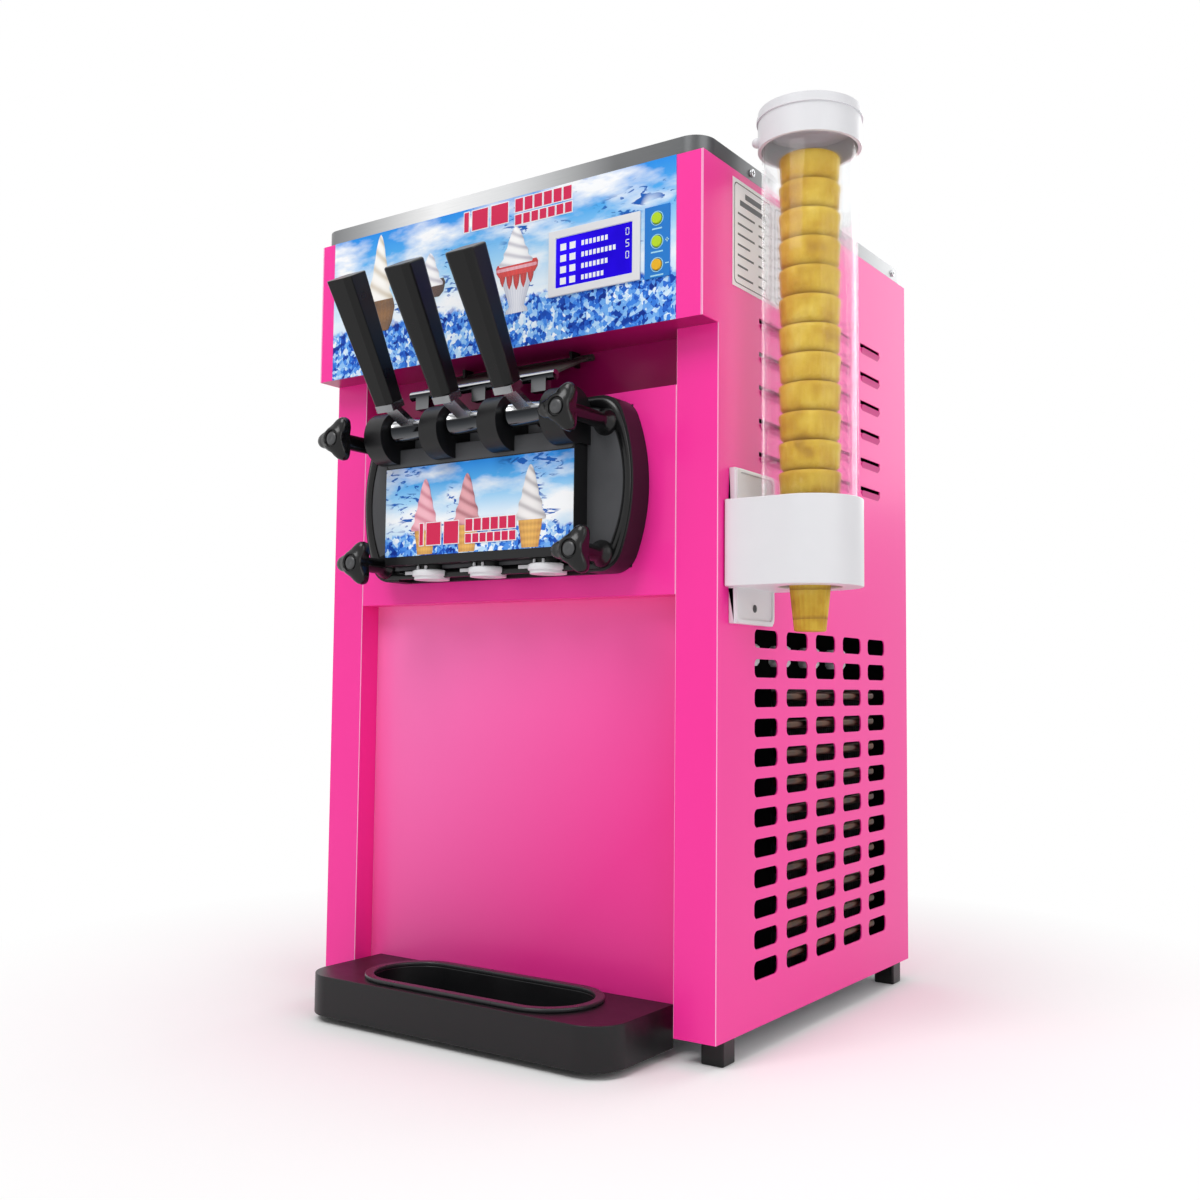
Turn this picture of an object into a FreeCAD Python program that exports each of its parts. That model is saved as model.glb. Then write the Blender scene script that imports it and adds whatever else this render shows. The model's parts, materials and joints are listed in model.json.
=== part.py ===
import FreeCAD, Part
import math
import os
from FreeCAD import Vector

# Three-flavour table-top soft serve machine, in millimetres.
# Origin: centre of the four feet, on the table. +Z up, +X to the right of a
# person at the front, and the front faces -Y.

os.makedirs("parts", exist_ok=True)

# ---------------------------------------------------------------- driving sizes
# Cabinet
cabinet_width = 420.0
cabinet_depth = 419.0
cabinet_height = 722.0
panel_sheet = 1.2
pan_sheet = 1.5
cap_sheet = 1.0
cap_band = 13.5
cap_corner = 18.0
header_face = 131.5
column_width = 38.0
column_setback = 24.7
front_recess = 21.5
slot_recess = 23.5
slot_height = 45.0
head_panel_height = 168.0

# Feet
foot_side = 20.0
foot_height = 20.0
foot_spacing_x = 396.0
foot_spacing_y = 344.0
foot_front_inset = 49.5
foot_corner = 2.0

# Frame inside the panels
post_side = 18.0
post_wall = 2.0
rail_height = 16.0
shelf_sheet = 2.0
jacket_slip = 0.1

# Side vents: pressed louvres above, a grille of rounded holes below
louvre_columns = 4
louvre_rows = 6
louvre_length = 47.0
louvre_gap = 4.0
louvre_pitch_y = 70.0
louvre_pitch_z = 27.9
louvre_first_inset = 117.0
louvre_top_drop = 99.5
grille_columns = 5
grille_rows = 12
grille_hole_length = 41.5
grille_hole_height = 15.0
grille_corner = 5.0
grille_pitch_y = 58.0
grille_pitch_z = 24.2
grille_first_inset = 107.2
grille_top = 330.8

# Control panel on the header
graphic_width = 379.0
graphic_shift = -3.5
graphic_sheet = 0.6
bezel_width = 91.0
bezel_height = 56.0
bezel_thick = 2.0
bezel_centre_x = 108.0
bezel_centre_up = 64.4
screen_width = 76.0
screen_height = 42.0
screen_thick = 1.0
button_plate_width = 23.2
button_plate_height = 58.0
button_plate_thick = 1.2
button_plate_x = 169.3
button_radius = 4.5
button_proud = 1.6
button_pitch = 18.7
button_clear = 0.3
button_collar = 2.0

# Drip tray
tray_half_width = 160.0
tray_front_reach = 76.7
tray_bottom = 6.0
tray_height = 34.0
tray_corner = 30.0
tray_wall = 2.5
basin_half_length = 108.0
basin_half_width = 37.0
ring_width = 8.0
ring_rise = 3.5
basin_reach = 24.7
tray_pin_radius = 4.0
tray_pin_length = 12.0
tray_pin_spacing = 220.0
tray_pin_rise = 10.0

# Dispensing head
head_centre_height = 454.0
flange_height = 143.0
flange_half_mid = 147.0
flange_half_corner = 136.0
flange_corner_drop = 14.0
flange_thick = 24.0
block_half_width = 103.0
block_top_up = 43.5
block_bottom_down = 59.0
nozzle_lip = 7.0
block_thick = 18.4
lever_pitch = 64.0
pivot_reach = 49.7
pivot_rise = 58.0
shaft_radius = 6.3
collar_radius = 23.0
collar_width = 20.0
collar_back = 4.0
collar_drop = 5.0
web_depth = 12.0
bore_reach = 23.4
plunger_radius = 9.0
plunger_fit = 0.05
port_radius = 9.0
nozzle_radius = 12.5
nozzle_length = 10.0
decal_width = 205.0
decal_height = 78.0
decal_sheet = 0.5
decal_rise = -12.5

# Levers
lever_boss_radius = 9.5
lever_boss_width = 40.0
lever_tilt = 29.0
lever_swing = 36.0
lever_bar_width = 14.0
lever_bar_thick = 5.0
grip_forward = 19.5
grip_start = 31.2
grip_length = 109.0
grip_width_low = 21.0
grip_width_high = 27.5
grip_corner = 4.5
ferrule_width = 19.0
ferrule_length = 6.0
ferrule_corner = 3.0
stem_radius = 4.0
stem_length = 99.0
finger_radius = 3.6
finger_width = 8.0
finger_bar = 5.0
finger_room = 7.0
notch_play = 0.8
notch_wall = 2.4
piston_top = 14.0
piston_flat = 4.0
piston_neck = 5.0
piston_lift_off = 2.0
seal_groove_depth = 1.5
seal_groove_width = 3.0
seal_groove_heights = (8.0, 60.0)

# Nozzle caps
cap_radius = 15.5
cap_star_radius = 6.0
cap_tab = 14.0
cap_tab_width = 6.0
cap_tab_thick = 3.0
cap_drop = 4.0
cap_floor = 2.5

# Star knobs and their studs
knob_lobe_reach = 21.0
knob_lobe_radius = 6.0
knob_hub_radius = 11.5
knob_thick = 12.5
knob_hub_set_back = 1.5
knob_bore_start = 8.0
knob_lobe_turns = (60, 180, 300)
sleeve_radius = 7.0
stud_radius = 4.0
stud_fit = 0.05
stud_set_back = 12.0
knob_upper_x = 121.0
knob_upper_up = 49.0
knob_upper_reach = 94.0
knob_lower_x = 118.0
knob_lower_up = -57.5
knob_lower_reach = 71.0

# Switch flap over the levers
flap_half_width = 79.0
bar_radius = 4.3
bar_reach = 36.5
bar_height = 545.0
flap_hinge_depth = 7.5
flap_hinge_drop = 6.5
flap_sheet = 2.0
flap_pin_radius = 3.0
flap_ear_x = 60.0
flap_ear_thick = 3.0
flap_ear_half = 6.0
bumper_width = 15.0
bumper_height = 9.0
bumper_depth = 8.0

# Freezing cylinders, beaters and drive
barrel_radius = 40.0
barrel_wall = 1.5
barrel_length = 215.0
barrel_up = -2.0
jacket_radius = 54.0
plate_thick = 8.0
plate_half_x = 130.0
plate_half_z = 66.0
beater_radius = 38.5
beater_shaft = 7.0
shaft_fit = 0.05
blade_thick = 4.0
blade_inset = 12.0
beater_disc = 6.0
beater_disc_inset = 8.0
beater_end_play = 4.0
beater_front_play = 6.0
beater_tail = 12.0
jacket_short = 12.0
gear_case_gap = 1.0
gear_case_length = 60.0
gear_case_half_height = 30.0
gear_case_side = 26.0
gear_case_inset = 10.0
coupling_depth = 19.0
motor_radius = 42.0
motor_length = 120.0
motor_lift = 34.0
motor_overhang = 12.0
motor_neck_half = 20.0

# Hoppers
hopper_length = 190.0
hopper_width = 170.0
hopper_depth = 148.0
hopper_wall = 1.2
hopper_flange = 8.0
hopper_gap = 24.0
hopper_front_inset = 70.0
hopper_corner = 20.0
spout_radius = 14.0
tube_fit = 0.05
air_tube_radius = 8.0
air_tube_bore = 5.0
air_tube_length = 100.0
lid_overlap = 5.0
lid_rise = 10.0
lid_sheet = 1.5
grab_half_length = 30.0
grab_half_width = 6.0
grab_rise = 12.0
grab_thick = 5.0
grab_leg = 8.0
air_tube_foot = 12.0
air_tube_collar = 3.0
air_tube_collar_height = 4.0
feed_hole_rise = 30.0
feed_hole_radius = 2.0

# Refrigeration
compressor_radius = 62.0
compressor_height = 170.0
compressor_x = -95.0
compressor_y = 30.0
compressor_lift = 12.0
compressor_dome = 20.0
compressor_plate_x = 80.0
compressor_plate_y = 45.0
compressor_plate_thick = 3.0
compressor_leg_x = 40.0
compressor_leg_y = 28.0
compressor_leg_radius = 8.0
compressor_leg_height = 30.0
condenser_depth = 200.0
condenser_height = 270.0
condenser_thick = 30.0
condenser_side_gap = 12.0
fan_radius = 85.0
fan_thick = 18.0
fan_hub_radius = 22.0
fan_blades = 5
fan_y = 20.0
fan_gap = 4.0
fan_tip_gap = 4.0
fan_bore = 4.0
blade_sheet = 4.0
blade_half_width = 24.0
blade_pitch = 25.0
shroud_extra = 8.0
fan_motor_gap = 12.0
fan_motor_radius = 28.0
fan_motor_length = 40.0
fan_stand_half_y = 24.0
fan_stand_inset = 8.0

# Power inlet on the back
inlet_inset = 60.0
inlet_rise = 60.0
inlet_half_width = 14.0
inlet_half_height = 12.0
inlet_depth = 26.0
inlet_flange_half_width = 25.0
inlet_flange_half_height = 15.0
inlet_flange_thick = 3.0
well_half_width = 11.0
well_half_height = 8.0
well_depth = 18.0
inlet_pins = ((-6.0, -2.0), (0.0, 2.0), (6.0, -2.0))
pin_half_width = 1.0
pin_half_height = 2.0
pin_inset = 2.0

# Fasteners
side_screw_insets = (79.7, 386.0)
side_screw_radius = 3.2
side_screw_proud = 1.8
back_screw_radius = 3.5
back_screw_proud = 2.0
back_screw_inset = 12.0
back_screw_heights = (45.0, 339.0, 688.5)

# Cone dispenser on the right-hand side
dispenser_offset = 54.5
dispenser_inset = 75.0
bracket_width = 66.0
bracket_height = 123.4
bracket_bottom = 341.0
bracket_thick = 6.0
holder_radius = 41.5
holder_bottom = 369.5
holder_height = 68.5
holder_ledge = 6.0
holder_floor = 3.0
tube_radius = 38.0
tube_wall = 1.5
tube_seat_drop = 40.0
tube_top = 738.0
tube_slip = 0.3
cone_cap_radius = 41.0
cone_cap_bottom = 719.5
cone_cap_top = 750.5
cone_mouth = 24.0
cone_neck = 18.0
cone_foot = 12.5
cone_wall = 2.0
cone_rim = 25.0
cone_height = 78.0
cone_pitch = 23.0
cone_count = 14
cone_lip = 1.5
cone_flare = 6.0
cone_base = 335.0
cone_clear = 1.0
cap_ridge = 1.2
cap_ridge_height = 3.0
cap_ridge_drop = 8.0
cap_nub_radius = 4.0
cap_nub_turn = 215.0
cap_nub_rise = 6.0

# Clearances
running_gap = 0.3
seat_gap = 0.3
hole_gap = 0.3

# Cutters run this far past what they cut
over = 1.0
far_over = 60.0

# ---------------------------------------------------------------- derived planes
half_w = cabinet_width / 2
front_y = -(foot_spacing_y / 2 + foot_front_inset)
back_y = front_y + cabinet_depth
column_y = front_y + column_setback
lower_y = column_y + front_recess
slot_y = column_y + slot_recess
cheek_y = max(lower_y + 0.1, slot_y) + panel_sheet
cap_bottom = cabinet_height - cap_band
header_bottom = cap_bottom - header_face
slot_bottom = header_bottom - slot_height
head_panel_bottom = slot_bottom - head_panel_height
bay_half = half_w - column_width
inner_half = half_w - panel_sheet
pan_top = foot_height + pan_sheet

flange_y = column_y - flange_thick
block_y = flange_y - block_thick
pivot_y = column_y - pivot_reach
pivot_z = head_centre_height + pivot_rise
bore_y = column_y - bore_reach
block_top = head_centre_height + block_top_up
block_bottom = head_centre_height - block_bottom_down
flange_top = head_centre_height + flange_height / 2
flange_bottom = head_centre_height - flange_height / 2
barrel_z = head_centre_height + barrel_up
barrel_back = column_y + plate_thick + barrel_length
shelf_top = barrel_z - jacket_radius - seat_gap
lever_places = {"left": -lever_pitch, "centre": 0.0, "right": lever_pitch}
barrel_places = {"left": -lever_pitch, "right": lever_pitch}
bar_y = column_y - bar_reach
disp_x = half_w + dispenser_offset
disp_y = front_y + dispenser_inset
hopper_top = cabinet_height + cap_sheet
hopper_y = front_y + hopper_front_inset + hopper_length / 2
hopper_x = hopper_gap / 2 + hopper_width / 2
hopper_places = {"left": -hopper_x, "right": hopper_x}
spout_y = hopper_y + hopper_length / 4
hopper_floor = hopper_top - hopper_depth
inlet_x = -half_w + inlet_inset
inlet_z = foot_height + inlet_rise
fan_x = inner_half - condenser_side_gap - condenser_thick - fan_thick - fan_gap
fan_z = pan_top + condenser_height / 2
tray_pin_z = foot_height + tray_pin_rise
basin_y = column_y - basin_reach
lever_dip = math.tan(math.radians(lever_swing / 2)) * (bore_y - pivot_y)
notch_z = pivot_z - lever_dip
hinge_y = slot_y - flap_hinge_depth
hinge_z = header_bottom - flap_hinge_drop


# ---------------------------------------------------------------- shape helpers
def box(x0, x1, y0, y1, z0, z1):
    return Part.makeBox(x1 - x0, y1 - y0, z1 - z0, Vector(x0, y0, z0))


def rod(x, y, z, radius, length, axis="z"):
    directions = {"x": Vector(1, 0, 0), "y": Vector(0, 1, 0), "z": Vector(0, 0, 1)}
    return Part.makeCylinder(radius, length, Vector(x, y, z), directions[axis])


def pipe(x, y, z, outer, inner, length, axis="z"):
    return rod(x, y, z, outer, length, axis).cut(rod(x, y, z, inner, length, axis))


def union(shapes):
    whole = shapes[0]
    for shape in shapes[1:]:
        whole = whole.fuse(shape)
    return whole.removeSplitter()


def mirrored(shape):
    return shape.mirror(Vector(0, 0, 0), Vector(1, 0, 0))


def prism(points, direction):
    wire = Part.makePolygon(points + [points[0]])
    return Part.Face(wire).extrude(direction)


def upright_edges(shape):
    """Edges that run straight up, for rounding a box's corners."""
    picked = []
    for edge in shape.Edges:
        ends = edge.Vertexes
        if len(ends) != 2:
            continue
        run = ends[1].Point - ends[0].Point
        if abs(run.x) < 1e-6 and abs(run.y) < 1e-6 and abs(run.z) > 1e-6:
            picked.append(edge)
    return picked


def rounded_box(x0, x1, y0, y1, z0, z1, radius):
    body = box(x0, x1, y0, y1, z0, z1)
    return body.makeFillet(radius, upright_edges(body))


def stadium(x, y, half_length, half_width, z0, z1):
    """Upright plug with straight long sides and round ends along X."""
    reach = half_length - half_width
    middle = box(x - reach, x + reach, y - half_width, y + half_width, z0, z1)
    ends = [rod(x + side * reach, y, z0, half_width, z1 - z0) for side in (-1, 1)]
    return union([middle] + ends)


def save(name, shape):
    shape.exportStep("parts/" + name + ".step")


# ---------------------------------------------------------------- cabinet shell
def base_pan():
    floor = box(-inner_half, inner_half, cheek_y, back_y - panel_sheet, foot_height, pan_top)
    tongue = box(-bay_half, bay_half, lower_y + panel_sheet, cheek_y, foot_height, pan_top)
    ears = []
    for side in (-1, 1):
        low = min(side * inner_half, side * (bay_half + panel_sheet))
        high = max(side * inner_half, side * (bay_half + panel_sheet))
        ears.append(box(low, high, column_y + panel_sheet, cheek_y, foot_height, pan_top))
    return union([floor, tongue] + ears)


def inner_frame():
    frame_half = inner_half - seat_gap
    frame_front = slot_y + panel_sheet + seat_gap
    frame_back = back_y - panel_sheet - seat_gap
    frame_top = cap_bottom
    rail_bottom = frame_top - rail_height
    parts = []
    for side in (-1, 1):
        for y_in, y_out in ((frame_front + post_side, frame_front), (frame_back - post_side, frame_back)):
            x_out = side * frame_half
            x_in = side * (frame_half - post_side)
            post = box(min(x_out, x_in), max(x_out, x_in), min(y_in, y_out), max(y_in, y_out),
                       pan_top, frame_top)
            step_x = -side * post_wall
            step_y = post_wall if y_in > y_out else -post_wall
            hollow = post.copy()
            hollow.translate(Vector(step_x, step_y, 0))
            parts.append(post.cut(hollow))
        x_out = side * frame_half
        x_in = side * (frame_half - post_wall)
        parts.append(box(min(x_out, x_in), max(x_out, x_in), frame_front, frame_back, rail_bottom, frame_top))
    parts.append(box(-frame_half, frame_half, frame_back - post_wall, frame_back, rail_bottom, frame_top))
    parts.append(box(-frame_half, frame_half, frame_front, frame_front + post_wall, rail_bottom, frame_top))
    shelf_front = lower_y + panel_sheet + plate_thick
    parts.append(box(-frame_half, frame_half, shelf_front, frame_back, shelf_top - shelf_sheet, shelf_top))
    return union(parts)


def side_vents(skip_first_row):
    """Cutters for one side: slots behind the louvres and the grille holes."""
    cutters = []
    reach = 6.0
    for column in range(louvre_columns):
        y = front_y + louvre_first_inset + column * louvre_pitch_y
        for row in range(louvre_rows):
            if skip_first_row and row == 0 and column < 2:
                continue
            z = cabinet_height - louvre_top_drop - row * louvre_pitch_z
            cutters.append(box(half_w - reach, half_w + reach, y - louvre_length / 2,
                               y + louvre_length / 2, z - louvre_gap / 2, z + louvre_gap / 2))
    hole = box(-reach, reach, -grille_hole_length / 2, grille_hole_length / 2,
               -grille_hole_height / 2, grille_hole_height / 2)
    across = [edge for edge in hole.Edges if abs(edge.tangentAt(edge.FirstParameter).x) > 0.9]
    hole = hole.makeFillet(grille_corner, across)
    for column in range(grille_columns):
        for row in range(grille_rows):
            copy = hole.copy()
            copy.translate(Vector(half_w, front_y + grille_first_inset + column * grille_pitch_y,
                                  grille_top - row * grille_pitch_z))
            cutters.append(copy)
    return Part.Compound(cutters)


def side_panel(label_side):
    """Right-hand panel: the side sheet, folded at the front into the column."""
    side_low = box(inner_half, half_w, column_y, back_y, foot_height, header_bottom)
    side_high = box(inner_half, half_w, front_y, back_y, header_bottom, cap_bottom)
    front = box(bay_half, half_w, column_y, column_y + panel_sheet, foot_height, header_bottom)
    cheek = box(bay_half, bay_half + panel_sheet, column_y, cheek_y, foot_height, header_bottom)
    return union([side_low, side_high, front, cheek]).cut(side_vents(label_side))


def head_panel():
    """Panel behind the dispensing head, folded back at the slot above and the recess below."""
    face = box(-bay_half, bay_half, column_y, column_y + panel_sheet, head_panel_bottom, slot_bottom)
    ledge = box(-bay_half, bay_half, column_y, slot_y, slot_bottom - panel_sheet, slot_bottom)
    rear = box(-bay_half, bay_half, slot_y, slot_y + panel_sheet, slot_bottom - panel_sheet, header_bottom)
    under = box(-bay_half, bay_half, column_y, lower_y, head_panel_bottom, head_panel_bottom + panel_sheet)
    window = box(-plate_half_x - over, plate_half_x + over, column_y - over, column_y + panel_sheet + over,
                 head_centre_height - plate_half_z - over, head_centre_height + plate_half_z + over)
    return union([face, ledge, rear, under]).cut(window)


def lower_front_panel():
    sheet = box(-bay_half, bay_half, lower_y, lower_y + panel_sheet, foot_height,
                head_panel_bottom + panel_sheet)
    for side in (-1, 1):
        x = side * tray_pin_spacing / 2
        sheet = sheet.cut(rod(x, lower_y - over, tray_pin_z, tray_pin_radius + hole_gap,
                              panel_sheet + 2 * over, "y"))
    return sheet


def header_shell():
    face = box(-inner_half, inner_half, front_y, front_y + panel_sheet, header_bottom, cap_bottom)
    floor = box(-bay_half, bay_half, front_y, slot_y + panel_sheet, header_bottom, header_bottom + panel_sheet)
    lips = []
    for side in (-1, 1):
        low = min(side * bay_half, side * inner_half)
        high = max(side * bay_half, side * inner_half)
        lips.append(box(low, high, front_y, column_y, header_bottom, header_bottom + panel_sheet))
    shell = union([face, floor] + lips)
    for place in button_heights():
        shell = shell.cut(rod(button_plate_x, front_y - over, place, button_radius + button_clear,
                              panel_sheet + 2 * over, "y"))
    return shell


def back_panel():
    sheet = box(-inner_half, inner_half, back_y - panel_sheet, back_y, foot_height, cap_bottom)
    slots = []
    for column in range(louvre_columns):
        x = (column - (louvre_columns - 1) / 2) * louvre_pitch_y
        for row in range(louvre_rows):
            z = head_centre_height + louvre_pitch_z * (louvre_rows / 2 - row)
            slots.append(box(x - louvre_length / 2, x + louvre_length / 2, back_y - panel_sheet - over,
                             back_y + over, z - louvre_gap / 2, z + louvre_gap / 2))
    inlet = box(inlet_x - inlet_half_width, inlet_x + inlet_half_width, back_y - panel_sheet - over,
                back_y + over, inlet_z - inlet_half_height, inlet_z + inlet_half_height)
    return sheet.cut(Part.Compound(slots + [inlet]))


def top_cap():
    """Stainless top: a flat sheet with a rounded band round it and two hopper openings."""
    outer = rounded_box(-half_w, half_w, front_y, back_y, cap_bottom, cabinet_height, cap_corner)
    inner = rounded_box(-half_w + cap_sheet, half_w - cap_sheet, front_y + cap_sheet, back_y - cap_sheet,
                        cap_bottom, cabinet_height - cap_sheet, cap_corner - cap_sheet)
    cap = outer.cut(inner)
    for x in hopper_places.values():
        cap = cap.cut(rounded_box(x - hopper_width / 2 - hole_gap, x + hopper_width / 2 + hole_gap,
                                  hopper_y - hopper_length / 2 - hole_gap, hopper_y + hopper_length / 2 + hole_gap,
                                  cap_bottom, cabinet_height + over, hopper_corner))
    return cap


# ---------------------------------------------------------------- header controls
def button_heights():
    middle = header_bottom + bezel_centre_up
    return [middle + button_pitch, middle, middle - button_pitch]


def header_graphic():
    x0 = graphic_shift - graphic_width / 2
    x1 = graphic_shift + graphic_width / 2
    sheet = box(x0, x1, front_y - graphic_sheet, front_y, header_bottom, cap_bottom)
    for z in button_heights():
        sheet = sheet.cut(rod(button_plate_x, front_y - graphic_sheet - over, z, button_radius + button_clear,
                              graphic_sheet + 2 * over, "y"))
    return sheet


def display_bezel():
    z = header_bottom + bezel_centre_up
    outer_y = front_y - graphic_sheet - bezel_thick
    frame = box(bezel_centre_x - bezel_width / 2, bezel_centre_x + bezel_width / 2, outer_y,
                front_y - graphic_sheet, z - bezel_height / 2, z + bezel_height / 2)
    window = box(bezel_centre_x - screen_width / 2, bezel_centre_x + screen_width / 2, outer_y,
                 front_y - graphic_sheet, z - screen_height / 2, z + screen_height / 2)
    return frame.cut(window)


def lcd_screen():
    z = header_bottom + bezel_centre_up
    face_y = front_y - graphic_sheet - screen_thick
    return box(bezel_centre_x - screen_width / 2, bezel_centre_x + screen_width / 2, face_y,
               front_y - graphic_sheet, z - screen_height / 2, z + screen_height / 2)


def button_plate():
    z = header_bottom + bezel_centre_up
    plate = box(button_plate_x - button_plate_width / 2, button_plate_x + button_plate_width / 2,
                front_y - graphic_sheet - button_plate_thick, front_y - graphic_sheet,
                z - button_plate_height / 2, z + button_plate_height / 2)
    for height in button_heights():
        plate = plate.cut(rod(button_plate_x, front_y - far_over, height, button_radius + button_clear,
                              far_over, "y"))
    return plate


def button(z):
    """Cap that shows, with a collar behind the header sheet that stops it coming out."""
    face_y = front_y - graphic_sheet - button_plate_thick - button_proud
    collar_y = front_y + panel_sheet + seat_gap
    stem = rod(button_plate_x, face_y, z, button_radius, collar_y - face_y + button_collar / 2, "y")
    collar = rod(button_plate_x, collar_y, z, button_radius + button_collar, button_collar, "y")
    return union([stem, collar])


# ---------------------------------------------------------------- drip tray
def drip_tray():
    back = lower_y - seat_gap
    front = lower_y - tray_front_reach - front_recess
    top = tray_bottom + tray_height
    outline = box(-tray_half_width, tray_half_width, front, back, tray_bottom, top)
    corners = [edge for edge in upright_edges(outline) if edge.Vertexes[0].Point.y < front + over]
    body = outline.makeFillet(tray_corner, corners)
    basin = stadium(0, basin_y, basin_half_length, basin_half_width, tray_bottom + tray_wall, top + over)
    body = body.cut(basin)
    for side in (-1, 1):
        pin = rod(side * tray_pin_spacing / 2, back - over, tray_pin_z, tray_pin_radius,
                  tray_pin_length + over, "y")
        body = body.fuse(pin)
    return body.removeSplitter()


def drip_ring():
    top = tray_bottom + tray_height
    outer = stadium(0, basin_y, basin_half_length + ring_width, basin_half_width + ring_width,
                    top, top + ring_rise)
    inner = stadium(0, basin_y, basin_half_length, basin_half_width, top, top + ring_rise)
    return outer.cut(inner)


# ---------------------------------------------------------------- dispensing head
def flange_outline(y):
    """Flat face in the X-Z plane: straight top and bottom, bulged sides, smoothly rounded corners."""
    half = flange_height / 2
    join = half - flange_corner_drop
    lean = 2 * math.atan((flange_half_mid - flange_half_corner) / join)
    radius = flange_corner_drop / (1 - math.sin(lean))
    shoulder = flange_half_corner - radius * math.cos(lean)
    sweep = (math.pi / 2 - lean) / 2
    bend_x = shoulder + radius * math.sin(sweep)
    bend_z = half - radius * (1 - math.cos(sweep))
    edges = []
    for turn in (1, -1):
        outline = [(-shoulder, half), (shoulder, half), (bend_x, bend_z), (flange_half_corner, join),
                   (flange_half_mid, 0), (flange_half_corner, -join), (bend_x, -bend_z), (shoulder, -half)]
        spots = [Vector(turn * x, y, head_centre_height + turn * z) for x, z in outline]
        edges.append(Part.makeLine(spots[0], spots[1]))
        for first in (1, 3, 5):
            edges.append(Part.Arc(spots[first], spots[first + 1], spots[first + 2]).toShape())
    return Part.Face(Part.Wire(edges))


def collar_places():
    return [(-1.5 + index) * lever_pitch for index in range(4)]


def dispensing_head():
    back = column_y - seat_gap
    flange = flange_outline(flange_y).extrude(Vector(0, back - flange_y, 0))
    block = box(-block_half_width, block_half_width, block_y, flange_y + over, block_bottom, block_top)
    head = flange.fuse(block)
    for x in collar_places():
        collar_y = pivot_y + collar_back
        collar_z = pivot_z - collar_drop
        collar = rod(x - collar_width / 2, collar_y, collar_z, collar_radius, collar_width, "x")
        web = box(x - collar_width / 2, x + collar_width / 2, collar_y, flange_y + over,
                  block_top - web_depth, collar_z + collar_radius / 2)
        head = head.fuse(collar).fuse(web)
    head = head.cut(box(-block_half_width, block_half_width, block_y - over, column_y - nozzle_lip,
                        flange_bottom - over, block_bottom))
    for x in collar_places():
        head = head.cut(rod(x - collar_width, pivot_y, pivot_z, shaft_radius + stud_fit, 2 * collar_width, "x"))
    for x in lever_places.values():
        head = head.cut(rod(x, bore_y, flange_bottom - over, plunger_radius + plunger_fit,
                            flange_height + far_over))
        head = head.cut(rod(x, bore_y, head_centre_height, port_radius, far_over, "y"))
        room = finger_width / 2 + finger_room
        head = head.cut(box(x - room, x + room, pivot_y, bore_y + plunger_radius,
                            block_top, flange_top + far_over))
    for x in lever_places.values():
        spout = pipe(x, bore_y, block_bottom - nozzle_length, nozzle_radius,
                     plunger_radius + plunger_fit, nozzle_length + over)
        head = head.fuse(spout)
    for x, z in stud_places():
        head = head.cut(rod(x, block_y, z, stud_radius + hole_gap, far_over, "y"))
    return head.removeSplitter()


def pivot_shaft():
    reach = 1.5 * lever_pitch + collar_width / 2
    return rod(-reach, pivot_y, pivot_z, shaft_radius, 2 * reach, "x")


def head_graphic():
    z = head_centre_height + decal_rise
    return box(-decal_width / 2, decal_width / 2, block_y - decal_sheet, block_y,
               z - decal_height / 2, z + decal_height / 2)


# ---------------------------------------------------------------- levers and valves
def tilt_forward(shape):
    turned = shape.copy()
    turned.rotate(Vector(0, pivot_y, pivot_z), Vector(1, 0, 0), lever_tilt)
    return turned


def lever(x):
    """Steel lever: long boss on the shaft, slanted flat bar to the ferrule, finger back to the valve."""
    half = lever_boss_width / 2
    boss = rod(x - half, pivot_y, pivot_z, lever_boss_radius, lever_boss_width, "x")
    stem_y = pivot_y - grip_forward
    ferrule_z = pivot_z + grip_start - ferrule_length
    run = Vector(0, -grip_forward, grip_start - ferrule_length / 2)
    across = Vector(1, 0, 0).cross(run)
    across.normalize()
    across = across * (lever_bar_thick / 2)
    foot = Vector(x - lever_bar_width / 2, pivot_y, pivot_z)
    bar = prism([foot - across, foot + across, foot + run + across, foot + run - across],
                Vector(lever_bar_width, 0, 0))
    ferrule = rounded_box(x - ferrule_width / 2, x + ferrule_width / 2, stem_y - ferrule_width / 2,
                          stem_y + ferrule_width / 2, ferrule_z, pivot_z + grip_start, ferrule_corner)
    stem = rod(x, stem_y, ferrule_z + over, stem_radius, ferrule_length + stem_length)
    upper = tilt_forward(union([bar, ferrule, stem]))
    thin = finger_bar / 2
    finger = prism([Vector(x - finger_width / 2, pivot_y, pivot_z - thin),
                    Vector(x - finger_width / 2, pivot_y, pivot_z + thin),
                    Vector(x - finger_width / 2, bore_y, notch_z + thin),
                    Vector(x - finger_width / 2, bore_y, notch_z - thin)], Vector(finger_width, 0, 0))
    tip = rod(x - finger_width / 2, bore_y, notch_z, finger_radius, finger_width, "x")
    whole = union([boss, upper, finger, tip])
    return whole.cut(rod(x - half - over, pivot_y, pivot_z, shaft_radius + shaft_fit,
                         lever_boss_width + 2 * over, "x"))


def grip(x):
    """Eight-sided moulded handle, wider at the top."""
    bottom = pivot_z + grip_start
    centre_y = pivot_y - grip_forward

    def ring(z, width):
        half = width / 2
        near = half - grip_corner
        points = [(half, near), (near, half), (-near, half), (-half, near),
                  (-half, -near), (-near, -half), (near, -half), (half, -near)]
        corners = [Vector(x + px, centre_y + py, z) for px, py in points]
        return Part.makePolygon(corners + [corners[0]])

    body = Part.makeLoft([ring(bottom, grip_width_low), ring(bottom + grip_length, grip_width_high)], True)
    socket = rod(x, centre_y, bottom - over, stem_radius + stud_fit, stem_length + 2 * over)
    return tilt_forward(body.cut(socket))


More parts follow.
